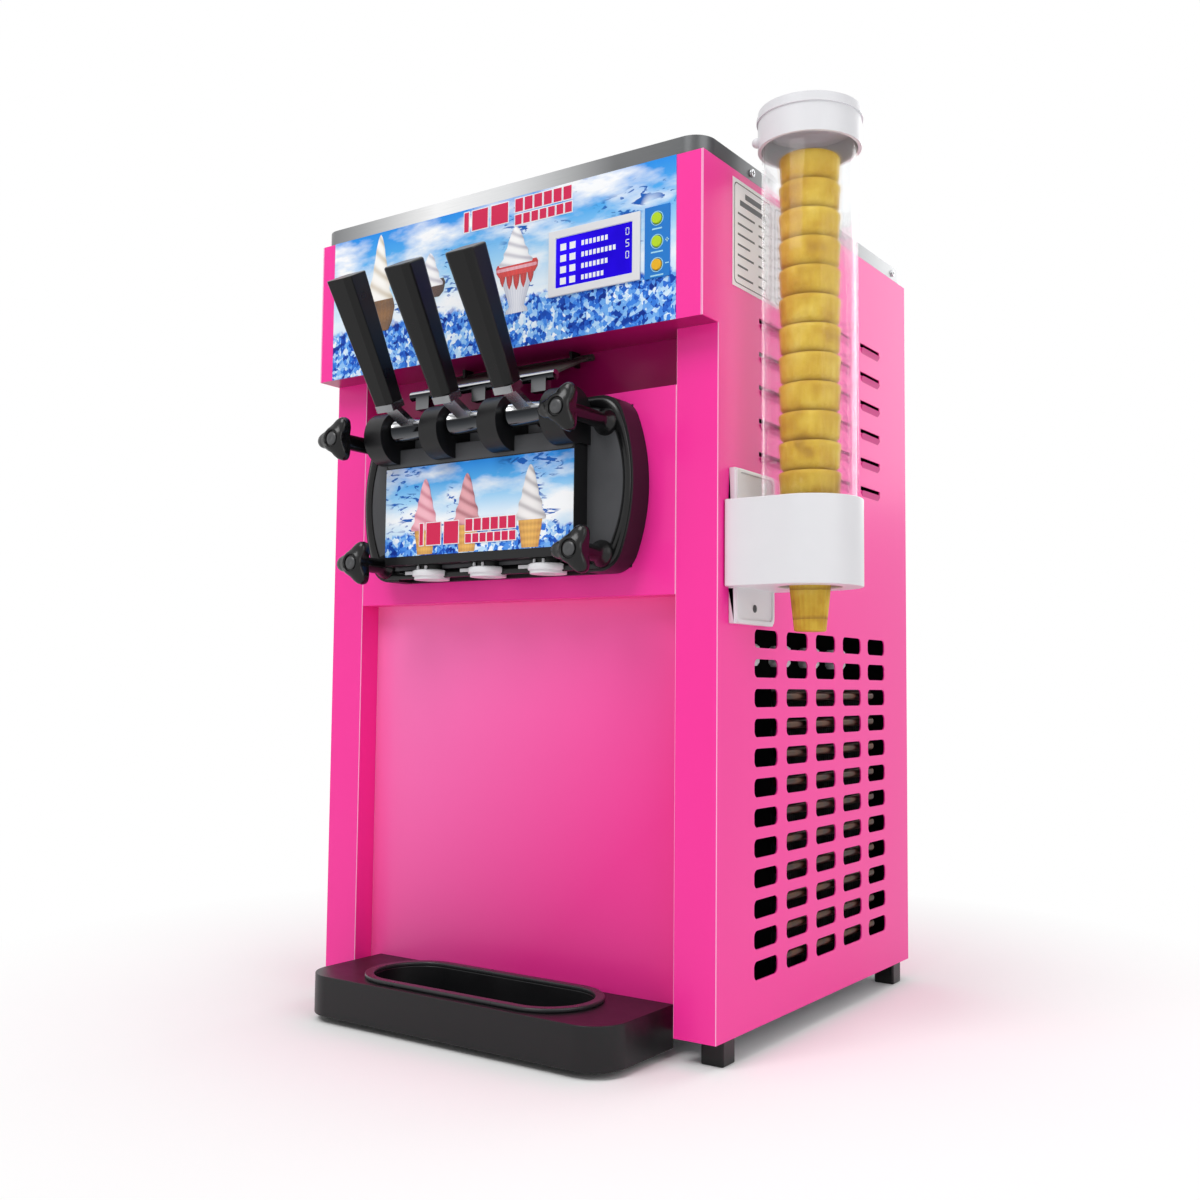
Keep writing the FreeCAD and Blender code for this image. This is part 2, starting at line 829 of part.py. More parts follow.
def plunger(x):
    """Valve piston with a notched top that the lever's finger works in."""
    low = block_bottom + piston_lift_off
    front = bore_y - plunger_radius
    piston = rod(x, bore_y, low, plunger_radius, notch_z + piston_top - low)
    neck_low = notch_z - finger_radius - piston_neck
    piston = piston.cut(box(x - plunger_radius, x + plunger_radius, front - over, bore_y - piston_flat,
                            neck_low, notch_z + piston_top + over))
    notch = box(x - plunger_radius, x + plunger_radius, front - over, bore_y + finger_radius + notch_wall,
                notch_z - finger_radius - notch_play, notch_z + finger_radius + notch_play)
    grooves = [pipe(x, bore_y, low + rise, plunger_radius + over, plunger_radius - seal_groove_depth,
                    seal_groove_width) for rise in seal_groove_heights]
    return piston.cut(notch).cut(Part.Compound(grooves)).removeSplitter()


def nozzle_cap(x):
    """White star-nozzle cap that twists onto the outlet, with a finger tab."""
    top = block_bottom - cap_drop
    outlet_end = block_bottom - nozzle_length
    bottom = outlet_end - cap_floor
    outer = rod(x, bore_y, bottom, cap_radius, top - bottom)
    inner = rod(x, bore_y, outlet_end - running_gap, nozzle_radius + running_gap, nozzle_length)
    star = rod(x, bore_y, bottom - over, cap_star_radius, cap_floor + 2 * over)
    tab = box(x - cap_radius - cap_tab, x - cap_radius + over, bore_y - cap_tab_width / 2,
              bore_y + cap_tab_width / 2, top - cap_tab_thick, top)
    return union([outer.cut(inner).cut(star), tab])


# ---------------------------------------------------------------- knobs and fasteners
def stud_places():
    up = head_centre_height + knob_upper_up
    down = head_centre_height + knob_lower_up
    return [(-knob_upper_x, up), (knob_upper_x, up), (-knob_lower_x, down), (knob_lower_x, down)]


def knob(x, z, reach):
    """Three-lobed hand knob on a long sleeve, threaded over its stud."""
    face_y = column_y - reach
    body = rod(x, face_y + knob_hub_set_back, z, knob_hub_radius, knob_thick - knob_hub_set_back, "y")
    for turn in knob_lobe_turns:
        lobe_x = x + math.cos(math.radians(turn)) * (knob_lobe_reach - knob_lobe_radius)
        lobe_z = z + math.sin(math.radians(turn)) * (knob_lobe_reach - knob_lobe_radius)
        body = body.fuse(rod(lobe_x, face_y, lobe_z, knob_lobe_radius, knob_thick, "y"))
    sleeve_start = face_y + knob_thick - over
    sleeve = rod(x, sleeve_start, z, sleeve_radius, flange_y - seat_gap - sleeve_start, "y")
    bore = rod(x, face_y + knob_bore_start, z, stud_radius + stud_fit, reach, "y")
    return body.fuse(sleeve).cut(bore).removeSplitter()


def fasteners():
    """Head studs, the screws of the stainless top and the screws of the back panel."""
    pieces = []
    for index, (x, z) in enumerate(stud_places()):
        reach = knob_upper_reach if index < 2 else knob_lower_reach
        start = column_y - reach + stud_set_back
        pieces.append(rod(x, start, z, stud_radius, column_y + plate_thick / 2 - start, "y"))
    for side in (-1, 1):
        start = half_w if side > 0 else -half_w - side_screw_proud
        for inset in side_screw_insets:
            pieces.append(rod(start, front_y + inset, cabinet_height - cap_band / 2, side_screw_radius,
                              side_screw_proud, "x"))
        for z in back_screw_heights:
            pieces.append(rod(side * (half_w - back_screw_inset), back_y, z, back_screw_radius,
                              back_screw_proud, "y"))
    return Part.Compound(pieces)


def feet():
    blocks = []
    for x in (-foot_spacing_x / 2, foot_spacing_x / 2):
        for y in (-foot_spacing_y / 2, foot_spacing_y / 2):
            half = foot_side / 2
            blocks.append(rounded_box(x - half, x + half, y - half, y + half, 0, foot_height, foot_corner))
    return Part.Compound(blocks)


# ---------------------------------------------------------------- switch flap
def switch_flap():
    """Slanted black plate, from the bar in front up to its hinge pin at the back."""
    run = Vector(0, hinge_y - bar_y, hinge_z - bar_height)
    across = Vector(1, 0, 0).cross(run)
    across.normalize()
    start = Vector(-flap_half_width, bar_y, bar_height)
    end = Vector(-flap_half_width, hinge_y, hinge_z)
    corners = [start, end, end + across * flap_sheet, start + across * flap_sheet]
    plate = prism(corners, Vector(2 * flap_half_width, 0, 0))
    plate = plate.cut(rod(-flap_half_width - over, bar_y, bar_height, bar_radius + stud_fit,
                          2 * (flap_half_width + over), "x"))
    room = flap_ear_half + over
    for side in (-1, 1):
        low = side * flap_ear_x - flap_ear_thick / 2 - running_gap
        high = side * flap_ear_x + flap_ear_thick / 2 + running_gap
        plate = plate.cut(box(low, high, hinge_y - room, hinge_y + room, hinge_z - room, hinge_z + room))
    pin = rod(-flap_half_width, hinge_y, hinge_z, flap_pin_radius, 2 * flap_half_width, "x")
    return union([plate, pin])


def switch_bar():
    bar = rod(-flap_half_width, bar_y, bar_height, bar_radius, 2 * flap_half_width, "x")
    parts = [bar]
    for x in lever_places.values():
        parts.append(box(x - bumper_width / 2, x + bumper_width / 2, bar_y - bumper_depth / 2,
                         bar_y + bumper_depth / 2, bar_height - bar_radius - bumper_height, bar_height))
    return union(parts)


def flap_ears():
    """Two ears under the header floor that the flap's pin turns in."""
    ears = []
    for side in (-1, 1):
        low = side * flap_ear_x - flap_ear_thick / 2
        ear = box(low, low + flap_ear_thick, hinge_y - flap_ear_half, hinge_y + flap_ear_half,
                  hinge_z - flap_ear_half, header_bottom)
        ears.append(ear.cut(rod(low - over, hinge_y, hinge_z, flap_pin_radius + shaft_fit,
                                flap_ear_thick + 2 * over, "x")))
    return ears


# ---------------------------------------------------------------- freezing and drive
def freezing_cylinders():
    """Two steel barrels welded to the front plate that the head seals on."""
    plate = box(-plate_half_x, plate_half_x, column_y, column_y + plate_thick,
                head_centre_height - plate_half_z, head_centre_height + plate_half_z)
    parts = [plate]
    for x in barrel_places.values():
        start = column_y + plate_thick - over
        parts.append(rod(x, start, barrel_z, barrel_radius + barrel_wall, barrel_back - start, "y"))
    body = union(parts)
    for x in barrel_places.values():
        bore_length = barrel_back - barrel_wall * 2 - column_y + over
        body = body.cut(rod(x, column_y - over, barrel_z, barrel_radius, bore_length, "y"))
        body = body.cut(rod(x, column_y, barrel_z, beater_shaft + shaft_fit, barrel_length + far_over, "y"))
        body = body.cut(rod(x, spout_y, barrel_z, spout_radius + hole_gap, far_over))
    for x, z in stud_places():
        body = body.cut(rod(x, column_y - over, z, stud_radius, plate_thick / 2 + over, "y"))
    return body


def insulation():
    """Foam jackets round the barrels."""
    jackets = []
    for x in barrel_places.values():
        start = column_y + plate_thick
        jacket = pipe(x, start, barrel_z, jacket_radius, barrel_radius + barrel_wall + jacket_slip,
                      barrel_length - jacket_short, "y")
        jacket = jacket.cut(rod(x, spout_y, barrel_z, spout_radius + hole_gap, far_over))
        jackets.append(jacket)
    return Part.Compound(jackets)


def beater(x):
    """Shaft with end discs and two scraper blades."""
    front = column_y + beater_front_play
    back = barrel_back - barrel_wall * 2 - beater_end_play
    parts = [rod(x, front, barrel_z, beater_shaft, barrel_back + beater_tail - front, "y")]
    for y in (front, back - beater_disc):
        parts.append(rod(x, y, barrel_z, beater_radius - beater_disc_inset, beater_disc, "y"))
    for side in (-1, 1):
        inner = side * (beater_radius - blade_inset)
        outer = side * beater_radius
        parts.append(box(x + min(inner, outer), x + max(inner, outer), front, back,
                         barrel_z - blade_thick / 2, barrel_z + blade_thick / 2))
    return union(parts)


def drive_motor():
    """Twin-output gear case behind the barrels, with its motor above the shelf."""
    case_front = barrel_back + gear_case_gap
    case_back = case_front + gear_case_length
    case_half = lever_pitch + gear_case_side
    case_bottom = barrel_z - gear_case_half_height
    case_top = barrel_z + gear_case_half_height
    case = box(-case_half, case_half, case_front, case_back, case_bottom, case_top)
    for x in barrel_places.values():
        case = case.cut(rod(x, case_front - over, barrel_z, beater_shaft + shaft_fit,
                            coupling_depth + over, "y"))
    foot = box(-case_half, case_half, case_front + gear_case_inset, case_back - gear_case_inset,
               shelf_top, case_bottom + over)
    motor_z = barrel_z + motor_lift + motor_radius
    motor = rod(0, case_back - motor_overhang - motor_length, motor_z, motor_radius, motor_length, "y")
    neck = box(-motor_neck_half, motor_neck_half, case_front + gear_case_inset,
               case_back - motor_overhang - over, case_top - over, motor_z)
    return union([case, foot, motor, neck])


# ---------------------------------------------------------------- hoppers
def hopper(x):
    half_l = hopper_width / 2
    half_d = hopper_length / 2
    outer = rounded_box(x - half_l, x + half_l, hopper_y - half_d, hopper_y + half_d, hopper_floor, hopper_top,
                        hopper_corner)
    rim = rounded_box(x - half_l - hopper_flange, x + half_l + hopper_flange, hopper_y - half_d - hopper_flange,
                      hopper_y + half_d + hopper_flange, cabinet_height, hopper_top, hopper_corner)
    inner = rounded_box(x - half_l + hopper_wall, x + half_l - hopper_wall, hopper_y - half_d + hopper_wall,
                        hopper_y + half_d - hopper_wall, hopper_floor + hopper_wall, hopper_top + over,
                        hopper_corner - hopper_wall)
    spout_x = math.copysign(lever_pitch, x)
    spout_bottom = barrel_z + barrel_radius + over
    spout = rod(spout_x, spout_y, spout_bottom, spout_radius, hopper_floor + over - spout_bottom)
    body = outer.fuse(rim).cut(inner).fuse(spout)
    return body.cut(rod(spout_x, spout_y, spout_bottom - over, air_tube_radius + tube_fit, hopper_depth))


def hopper_lid(x):
    """Lid with a turned-down rim that rests on the hopper's flange, and a bar handle."""
    half_l = hopper_width / 2 + lid_overlap
    half_d = hopper_length / 2 + lid_overlap
    base = hopper_top + seat_gap
    top = base + lid_rise
    outer = rounded_box(x - half_l, x + half_l, hopper_y - half_d, hopper_y + half_d, base, top, hopper_corner)
    inner = rounded_box(x - half_l + lid_sheet, x + half_l - lid_sheet, hopper_y - half_d + lid_sheet,
                        hopper_y + half_d - lid_sheet, base, top - lid_sheet, hopper_corner - lid_sheet)
    parts = [outer.cut(inner)]
    front = hopper_y - grab_half_width
    back = hopper_y + grab_half_width
    grab = top + grab_rise
    parts.append(box(x - grab_half_length, x + grab_half_length, front, back, grab, grab + grab_thick))
    for low in (x - grab_half_length, x + grab_half_length - grab_leg):
        parts.append(box(low, low + grab_leg, front, back, top - lid_sheet, grab + over))
    return union(parts)


def air_tube(x):
    """Feed tube that stands in the hopper outlet and meters mix and air."""
    spout_x = math.copysign(lever_pitch, x)
    outer = air_tube_radius
    tube = pipe(spout_x, spout_y, hopper_floor - air_tube_foot, outer, air_tube_bore, air_tube_length)
    collar = pipe(spout_x, spout_y, hopper_floor + hopper_wall + seat_gap, outer + air_tube_collar,
                  air_tube_bore, air_tube_collar_height)
    cross = rod(spout_x - outer - over, spout_y, hopper_floor + feed_hole_rise, feed_hole_radius,
                2 * (outer + over), "x")
    return union([tube, collar]).cut(cross)


# ---------------------------------------------------------------- refrigeration
def compressor():
    x = compressor_x
    y = compressor_y
    shell = rod(x, y, pan_top + compressor_lift, compressor_radius, compressor_height)
    rims = [edge for edge in shell.Edges if edge.Curve.TypeId == "Part::GeomCircle"]
    shell = shell.makeFillet(compressor_dome, rims)
    feet_plate = box(x - compressor_plate_x, x + compressor_plate_x, y - compressor_plate_y,
                     y + compressor_plate_y, pan_top, pan_top + compressor_plate_thick)
    legs = []
    for dx in (-compressor_leg_x, compressor_leg_x):
        for dy in (-compressor_leg_y, compressor_leg_y):
            legs.append(rod(x + dx, y + dy, pan_top + over, compressor_leg_radius, compressor_leg_height))
    return union([shell, feet_plate] + legs)


def condenser():
    """Finned coil behind the right-hand grille, with the fan shroud and its motor."""
    outer_x = inner_half - condenser_side_gap
    inner_x = outer_x - condenser_thick
    shroud_x = inner_x - fan_thick - shroud_extra
    y0 = fan_y - condenser_depth / 2
    y1 = fan_y + condenser_depth / 2
    core = box(inner_x, outer_x, y0, y1, pan_top, pan_top + condenser_height)
    shroud = box(shroud_x, inner_x + over, y0, y1, pan_top, pan_top + condenser_height)
    shroud = shroud.cut(rod(shroud_x - over, fan_y, fan_z, fan_radius + fan_tip_gap,
                            inner_x - shroud_x + over, "x"))
    motor_face = shroud_x - fan_motor_gap
    motor = rod(motor_face - fan_motor_length, fan_y, fan_z, fan_motor_radius, fan_motor_length, "x")
    spindle = rod(motor_face - over, fan_y, fan_z, fan_bore, fan_x + fan_thick - motor_face, "x")
    stand = box(motor_face - fan_motor_length + fan_stand_inset, motor_face - fan_stand_inset,
                fan_y - fan_stand_half_y, fan_y + fan_stand_half_y, pan_top, fan_z)
    return Part.Compound([core.fuse(shroud).removeSplitter(), union([motor, spindle, stand])])


def fan():
    hub = rod(fan_x, fan_y, fan_z, fan_hub_radius, fan_thick, "x")
    blade_x = fan_x + (fan_thick - fan_tip_gap * 2) / 2
    root = fan_z + fan_hub_radius - blade_sheet
    blades = []
    for index in range(fan_blades):
        blade = box(blade_x - blade_sheet / 2, blade_x + blade_sheet / 2, fan_y - blade_half_width,
                    fan_y + blade_half_width, root, fan_z + fan_radius)
        blade.rotate(Vector(blade_x, fan_y, fan_z), Vector(0, 0, 1), blade_pitch)
        blade.rotate(Vector(blade_x, fan_y, fan_z), Vector(1, 0, 0), 360 / fan_blades * index)
        blades.append(blade)
    wheel = union([hub] + blades)
    wheel = wheel.common(rod(fan_x - fan_thick, fan_y, fan_z, fan_radius, 3 * fan_thick, "x"))
    return wheel.cut(rod(fan_x - over, fan_y, fan_z, fan_bore + shaft_fit, fan_thick + 2 * over, "x"))


# ---------------------------------------------------------------- power inlet
def power_inlet():
    x = inlet_x
    z = inlet_z
    flange = box(x - inlet_flange_half_width, x + inlet_flange_half_width, back_y, back_y + inlet_flange_thick,
                 z - inlet_flange_half_height, z + inlet_flange_half_height)
    body = box(x - inlet_half_width + hole_gap, x + inlet_half_width - hole_gap, back_y - inlet_depth,
               back_y + over, z - inlet_half_height + hole_gap, z + inlet_half_height - hole_gap)
    well_back = back_y - well_depth
    well = box(x - well_half_width, x + well_half_width, well_back, back_y + inlet_flange_thick + over,
               z - well_half_height, z + well_half_height)
    pins = [box(x + dx - pin_half_width, x + dx + pin_half_width, well_back - over, back_y - pin_inset,
                z + dz - pin_half_height, z + dz + pin_half_height) for dx, dz in inlet_pins]
    return union([flange.fuse(body).cut(well)] + pins)


# ---------------------------------------------------------------- cone dispenser
def cone_holder():
    """White bracket: wall plate and round holder that the tube stands in."""
    half = bracket_width / 2
    plate = box(half_w, half_w + bracket_thick, disp_y - half, disp_y + half, bracket_bottom,
                bracket_bottom + bracket_height)
    top = holder_bottom + holder_height
    drum = rod(disp_x, disp_y, holder_bottom, holder_radius, holder_height)
    neck = box(half_w + over, disp_x, disp_y - holder_radius, disp_y + holder_radius, holder_bottom, top)
    body = union([plate, drum, neck])
    body = body.cut(rod(disp_x, disp_y, top - tube_seat_drop, tube_radius + tube_slip, tube_seat_drop + over))
    body = body.cut(rod(disp_x, disp_y, holder_bottom - over, tube_radius - holder_ledge, holder_height))
    floor = pipe(disp_x, disp_y, holder_bottom, tube_radius - holder_ledge + over, cone_mouth + cone_clear,
                 holder_floor)
    return body.fuse(floor).removeSplitter()


def cone_tube():
    foot = holder_bottom + holder_height - tube_seat_drop + seat_gap
    return pipe(disp_x, disp_y, foot, tube_radius, tube_radius - tube_wall, tube_top - foot)


def cone_cap():
    cup = rod(disp_x, disp_y, cone_cap_bottom, cone_cap_radius, cone_cap_top - cone_cap_bottom)
    cup = cup.cut(rod(disp_x, disp_y, cone_cap_bottom - over, tube_radius + tube_slip,
                      tube_top + seat_gap - cone_cap_bottom + over))
    ridge = pipe(disp_x, disp_y, cone_cap_top - cap_ridge_drop, cone_cap_radius + cap_ridge,
                 cone_cap_radius - over, cap_ridge_height)
    turn = math.radians(cap_nub_turn)
    reach = cone_cap_radius + cap_ridge
    nub_centre = Vector(disp_x + math.cos(turn) * reach, disp_y + math.sin(turn) * reach,
                        cone_cap_bottom + cap_nub_rise)
    nub = Part.makeSphere(cap_nub_radius, nub_centre)
    nub = nub.cut(rod(disp_x, disp_y, cone_cap_bottom - over, cone_cap_radius - over, far_over))
    return union([cup, ridge, nub])


def cone_profile(base_z, inset, bottom, top):
    """Solid of the cone's outline, drawn in by inset, from bottom to top."""
    neck_z = base_z + cone_height - cone_rim
    points = [Vector(disp_x, disp_y, bottom), Vector(disp_x + cone_foot - inset, disp_y, bottom),
              Vector(disp_x + cone_neck - inset, disp_y, neck_z),
              Vector(disp_x + cone_mouth - inset - cone_lip, disp_y, neck_z + cone_flare),
              Vector(disp_x + cone_mouth - inset, disp_y, top), Vector(disp_x, disp_y, top)]
    face = Part.Face(Part.makePolygon(points + [points[0]]))
    return face.revolve(Vector(disp_x, disp_y, 0), Vector(0, 0, 1), 360)


def cone(base_z):
    """Flat-bottomed wafer cup: tapered foot and a wider rim."""
    outer = cone_profile(base_z, 0, base_z, base_z + cone_height)
    inner = cone_profile(base_z, cone_wall, base_z + cone_wall, base_z + cone_height + over)
    return outer.cut(inner)


def cone_stack():
    return Part.Compound([cone(cone_base + index * cone_pitch) for index in range(1, cone_count)])


# ---------------------------------------------------------------- write the parts
save("base_pan", base_pan())
save("inner_frame", inner_frame())
save("side_panel_right", side_panel(True))
save("side_panel_left", mirrored(side_panel(False)))
save("back_panel", back_panel())
save("head_panel", head_panel())
save("lower_front_panel", lower_front_panel())
save("header_shell", union([header_shell()] + flap_ears()))
save("top_cap", top_cap())
save("fasteners", fasteners())
save("feet", feet())
save("header_graphic", header_graphic())
save("display_bezel", display_bezel())
save("lcd_screen", lcd_screen())
save("button_plate", button_plate())
for name, height in zip(("button_upper", "button_middle", "button_lower"), button_heights()):
    save(name, button(height))
save("drip_tray", drip_tray())
save("drip_ring", drip_ring())
save("dispensing_head", dispensing_head())
save("pivot_shaft", pivot_shaft())
save("head_graphic", head_graphic())
for side, x in lever_places.items():
    save("lever_" + side, lever(x))
    save("grip_" + side, grip(x))
    save("plunger_" + side, plunger(x))
    save("nozzle_cap_" + side, nozzle_cap(x))
knob_names = ("knob_upper_left", "knob_upper_right", "knob_lower_left", "knob_lower_right")
knob_reaches = (knob_upper_reach, knob_upper_reach, knob_lower_reach, knob_lower_reach)
for name, (x, z), reach in zip(knob_names, stud_places(), knob_reaches):
    save(name, knob(x, z, reach))
save("switch_flap", switch_flap())
save("switch_bar", switch_bar())
save("freezing_cylinders", freezing_cylinders())
save("insulation", insulation())
for side, x in barrel_places.items():
    save("beater_" + side, beater(x))
save("drive_motor", drive_motor())
save("hoppers", Part.Compound([hopper(x) for x in hopper_places.values()]))
for side, x in hopper_places.items():
    save("hopper_lid_" + side, hopper_lid(x))
    save("air_tube_" + side, air_tube(x))
save("compressor", compressor())
save("condenser", condenser())
save("fan", fan())
save("power_inlet", power_inlet())
save("cone_holder", cone_holder())
save("cone_tube", cone_tube())
save("cone_cap", cone_cap())
save("cone_stack", cone_stack())
save("bottom_cone", cone(cone_base))
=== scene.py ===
"""Looks of a three-flavour table-top soft serve machine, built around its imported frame.

The frame is in metres: +Z up, the front faces -Y and +X is to the right of a
person at the front. Sizes below are in millimetres until they become mesh.
"""
import json
import math

import bmesh
import bpy
from mathutils import Matrix, Vector

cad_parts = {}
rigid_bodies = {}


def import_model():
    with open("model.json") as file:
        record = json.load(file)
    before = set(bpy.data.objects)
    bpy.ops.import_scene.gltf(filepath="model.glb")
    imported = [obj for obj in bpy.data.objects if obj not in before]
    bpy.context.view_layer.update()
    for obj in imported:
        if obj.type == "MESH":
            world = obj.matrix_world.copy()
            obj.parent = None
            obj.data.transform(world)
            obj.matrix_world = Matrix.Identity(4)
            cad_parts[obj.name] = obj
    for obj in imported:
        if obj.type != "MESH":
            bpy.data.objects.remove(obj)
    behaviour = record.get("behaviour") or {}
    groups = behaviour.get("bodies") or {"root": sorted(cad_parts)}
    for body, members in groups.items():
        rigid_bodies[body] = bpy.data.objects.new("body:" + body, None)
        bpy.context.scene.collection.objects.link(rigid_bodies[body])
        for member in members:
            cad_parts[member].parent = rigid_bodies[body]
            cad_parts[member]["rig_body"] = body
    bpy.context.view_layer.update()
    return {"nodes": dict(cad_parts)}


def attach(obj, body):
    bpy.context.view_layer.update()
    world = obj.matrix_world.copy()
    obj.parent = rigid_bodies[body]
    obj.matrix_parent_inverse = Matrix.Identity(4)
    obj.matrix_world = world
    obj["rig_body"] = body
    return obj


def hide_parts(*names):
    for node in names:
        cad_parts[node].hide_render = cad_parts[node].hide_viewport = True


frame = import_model()
cad = frame["nodes"]
MM = 0.001

# Planes of the cabinet and centres of its parts, in millimetres
FRONT_Y, COLUMN_Y, SLOT_Y, BACK_Y = -221.5, -196.8, -173.3, 197.5
HALF_WIDTH, BAY_HALF = 210.0, 172.0
SLOT_BOTTOM, HEADER_BOTTOM, CAP_BOTTOM = 532.0, 577.0, 708.5
FILM_Y, DECAL_Y = -222.1, -239.7
FLANGE_Y, BLOCK_Y = -220.8, -239.2
HEAD_Z, DECAL_Z = 454.0, 441.5
LEVERS = {"left": -64.0, "centre": 0.0, "right": 64.0}
NOZZLE_Y = -220.2
PIVOT = (-246.5, 512.0)
KNOBS = {"upper_left": (-121.0, 503.0, -290.8), "upper_right": (121.0, 503.0, -290.8),
         "lower_left": (-118.0, 396.5, -267.8), "lower_right": (118.0, 396.5, -267.8)}
TUBE_X, TUBE_Y = 264.5, -146.5
CONE_BASE, CONE_PITCH, CONE_HEIGHT = 335.0, 23.0, 78.0


# ---------------------------------------------------------------- materials: helpers
def linear(colour):
    """Linear RGBA of an sRGB hex colour."""
    shares = [int(colour[i:i + 2], 16) / 255 for i in (1, 3, 5)]
    return [c / 12.92 if c <= 0.04045 else ((c + 0.055) / 1.055) ** 2.4 for c in shares] + [1.0]


def add(tree, kind, inputs=None, stops=None, **settings):
    """Adds a node. Inputs maps a socket to its value, or to the node or socket that feeds it."""
    made = tree.nodes.new(kind)
    for name, value in settings.items():
        setattr(made, name, value)
    for key, value in (inputs or {}).items():
        if isinstance(value, bpy.types.Node):
            value = value.outputs[0]
        if isinstance(value, bpy.types.NodeSocket):
            tree.links.new(value, made.inputs[key])
        else:
            made.inputs[key].default_value = value
    for index, (place, colour) in enumerate(stops or ()):
        elements = made.color_ramp.elements
        element = elements[index] if index < 2 else elements.new(place)
        element.position = place
        element.color = linear(colour)
    return made


def start_material(name, colour, roughness, metallic=0.0, **sockets):
    """New material with a Principled shader. Returns it, its tree, its shader and its object coordinates."""
    made = bpy.data.materials.new(name)
    made.use_nodes = True
    tree = made.node_tree
    shader = tree.nodes["Principled BSDF"]
    shader.inputs["Base Color"].default_value = linear(colour)
    shader.inputs["Roughness"].default_value = roughness
    shader.inputs["Metallic"].default_value = metallic
    for key, value in sockets.items():
        shader.inputs[key.replace("_", " ")].default_value = value
    return made, tree, shader, add(tree, "ShaderNodeTexCoord").outputs["Object"]


# ---------------------------------------------------------------- materials: paint and metal
def powder_coat(name, colour, pale, low=None, high=None, roughness=0.36):
    """Polyester powder coat on sheet steel: even gloss, faint orange peel and slow drifts of film thickness.

    With low and high, a painted highlight makes the coat paler towards the upper left of that span of heights
    in metres.
    """
    made, tree, shader, place = start_material(name, colour, roughness, Coat_Weight=0.15, Coat_Roughness=0.15,
                                               Specular_IOR_Level=0.3)
    drift = add(tree, "ShaderNodeTexNoise", {"Vector": place, "Scale": 1 / (180 * MM), "Detail": 2.0})
    share = add(tree, "ShaderNodeMapRange", {"Value": drift, "To Min": 0.0, "To Max": 0.14})
    # Painted highlight: the coat runs paler towards the upper left of the span
    if high:
        parts = add(tree, "ShaderNodeSeparateXYZ", {"Vector": place})
        across = add(tree, "ShaderNodeMapRange", {
            "Value": parts.outputs[0], "From Min": 0.17, "From Max": -0.17})
        upward = add(tree, "ShaderNodeMapRange", {"Value": parts.outputs[2], "From Min": low, "From Max": high})
        both = add(tree, "ShaderNodeMath", {0: across, 1: upward}, operation="ADD")
        share = add(tree, "ShaderNodeMapRange", {
            "Value": both, "From Min": 0.55, "From Max": 1.9, "To Max": 0.8})
    tone = add(tree, "ShaderNodeMix", {"Factor": share, 6: linear(colour), 7: linear(pale)}, data_type="RGBA")
    tree.links.new(tone.outputs[2], shader.inputs["Base Color"])
    peel = add(tree, "ShaderNodeTexNoise", {"Vector": place, "Scale": 1 / (2.6 * MM), "Detail": 1.0})
    ripple = add(tree, "ShaderNodeBump", {"Height": peel, "Strength": 0.25, "Distance": 0.02 * MM})
    tree.links.new(ripple.outputs[0], shader.inputs["Normal"])
    return made


def brushed_steel(name, along, roughness, stops, span):
    """Stainless sheet brushed along one axis: lines 0.5 mm apart, coarse enough to show, and bands of painted
    reflection.

    The painted reflection bands run over the span of x + y in metres, so they turn the corners of the sheet.
    """
    made, tree, shader, place = start_material(name, stops[0][1], roughness, 1.0)
    squeeze = [1 / 60 if axis == along else 1.0 for axis in "xyz"]
    drawn = add(tree, "ShaderNodeMapping", {"Vector": place, "Scale": squeeze})
    grain = add(tree, "ShaderNodeTexNoise", {"Vector": drawn, "Scale": 1 / (0.5 * MM), "Detail": 3.0})
    rough = add(tree, "ShaderNodeMapRange", {
        "Value": grain, "To Min": roughness - 0.07, "To Max": roughness + 0.09})
    tree.links.new(rough.outputs[0], shader.inputs["Roughness"])
    # Painted reflection: bands of tone that run over x + y
    parts = add(tree, "ShaderNodeSeparateXYZ", {"Vector": place})
    course = add(tree, "ShaderNodeMath", {0: parts.outputs[0], 1: parts.outputs[1]}, operation="ADD")
    share = add(tree, "ShaderNodeMapRange", {"Value": course, "From Min": span[0], "From Max": span[1]})
    tone = add(tree, "ShaderNodeValToRGB", {"Fac": share}, stops=stops)
    faint = add(tree, "ShaderNodeMapRange", {"Value": grain, "To Min": 0.0, "To Max": 0.3})
    lined = add(tree, "ShaderNodeMix", {"Factor": faint, 6: tone, 7: linear("#7E8083")}, data_type="RGBA")
    tree.links.new(lined.outputs[2], shader.inputs["Base Color"])
    ripple = add(tree, "ShaderNodeBump", {"Height": grain, "Strength": 0.4, "Distance": 0.01 * MM})
    tree.links.new(ripple.outputs[0], shader.inputs["Normal"])
    return made


def polished_metal(name, colour, dark, roughness, size=14.0):
    """Plated or turned metal with polishing haze and patches that reflect a little darker."""
    made, tree, shader, place = start_material(name, colour, roughness, 1.0)
    haze = add(tree, "ShaderNodeTexNoise", {"Vector": place, "Scale": 1 / (size * MM), "Detail": 3.0})
    rough = add(tree, "ShaderNodeMapRange", {
        "Value": haze, "To Min": roughness * 0.7, "To Max": roughness * 1.6})
    tree.links.new(rough.outputs[0], shader.inputs["Roughness"])
    share = add(tree, "ShaderNodeMapRange", {"Value": haze, "From Min": 0.35, "From Max": 0.65})
    tone = add(tree, "ShaderNodeMix", {"Factor": share, 6: linear(dark), 7: linear(colour)}, data_type="RGBA")
    tree.links.new(tone.outputs[2], shader.inputs["Base Color"])
    return made


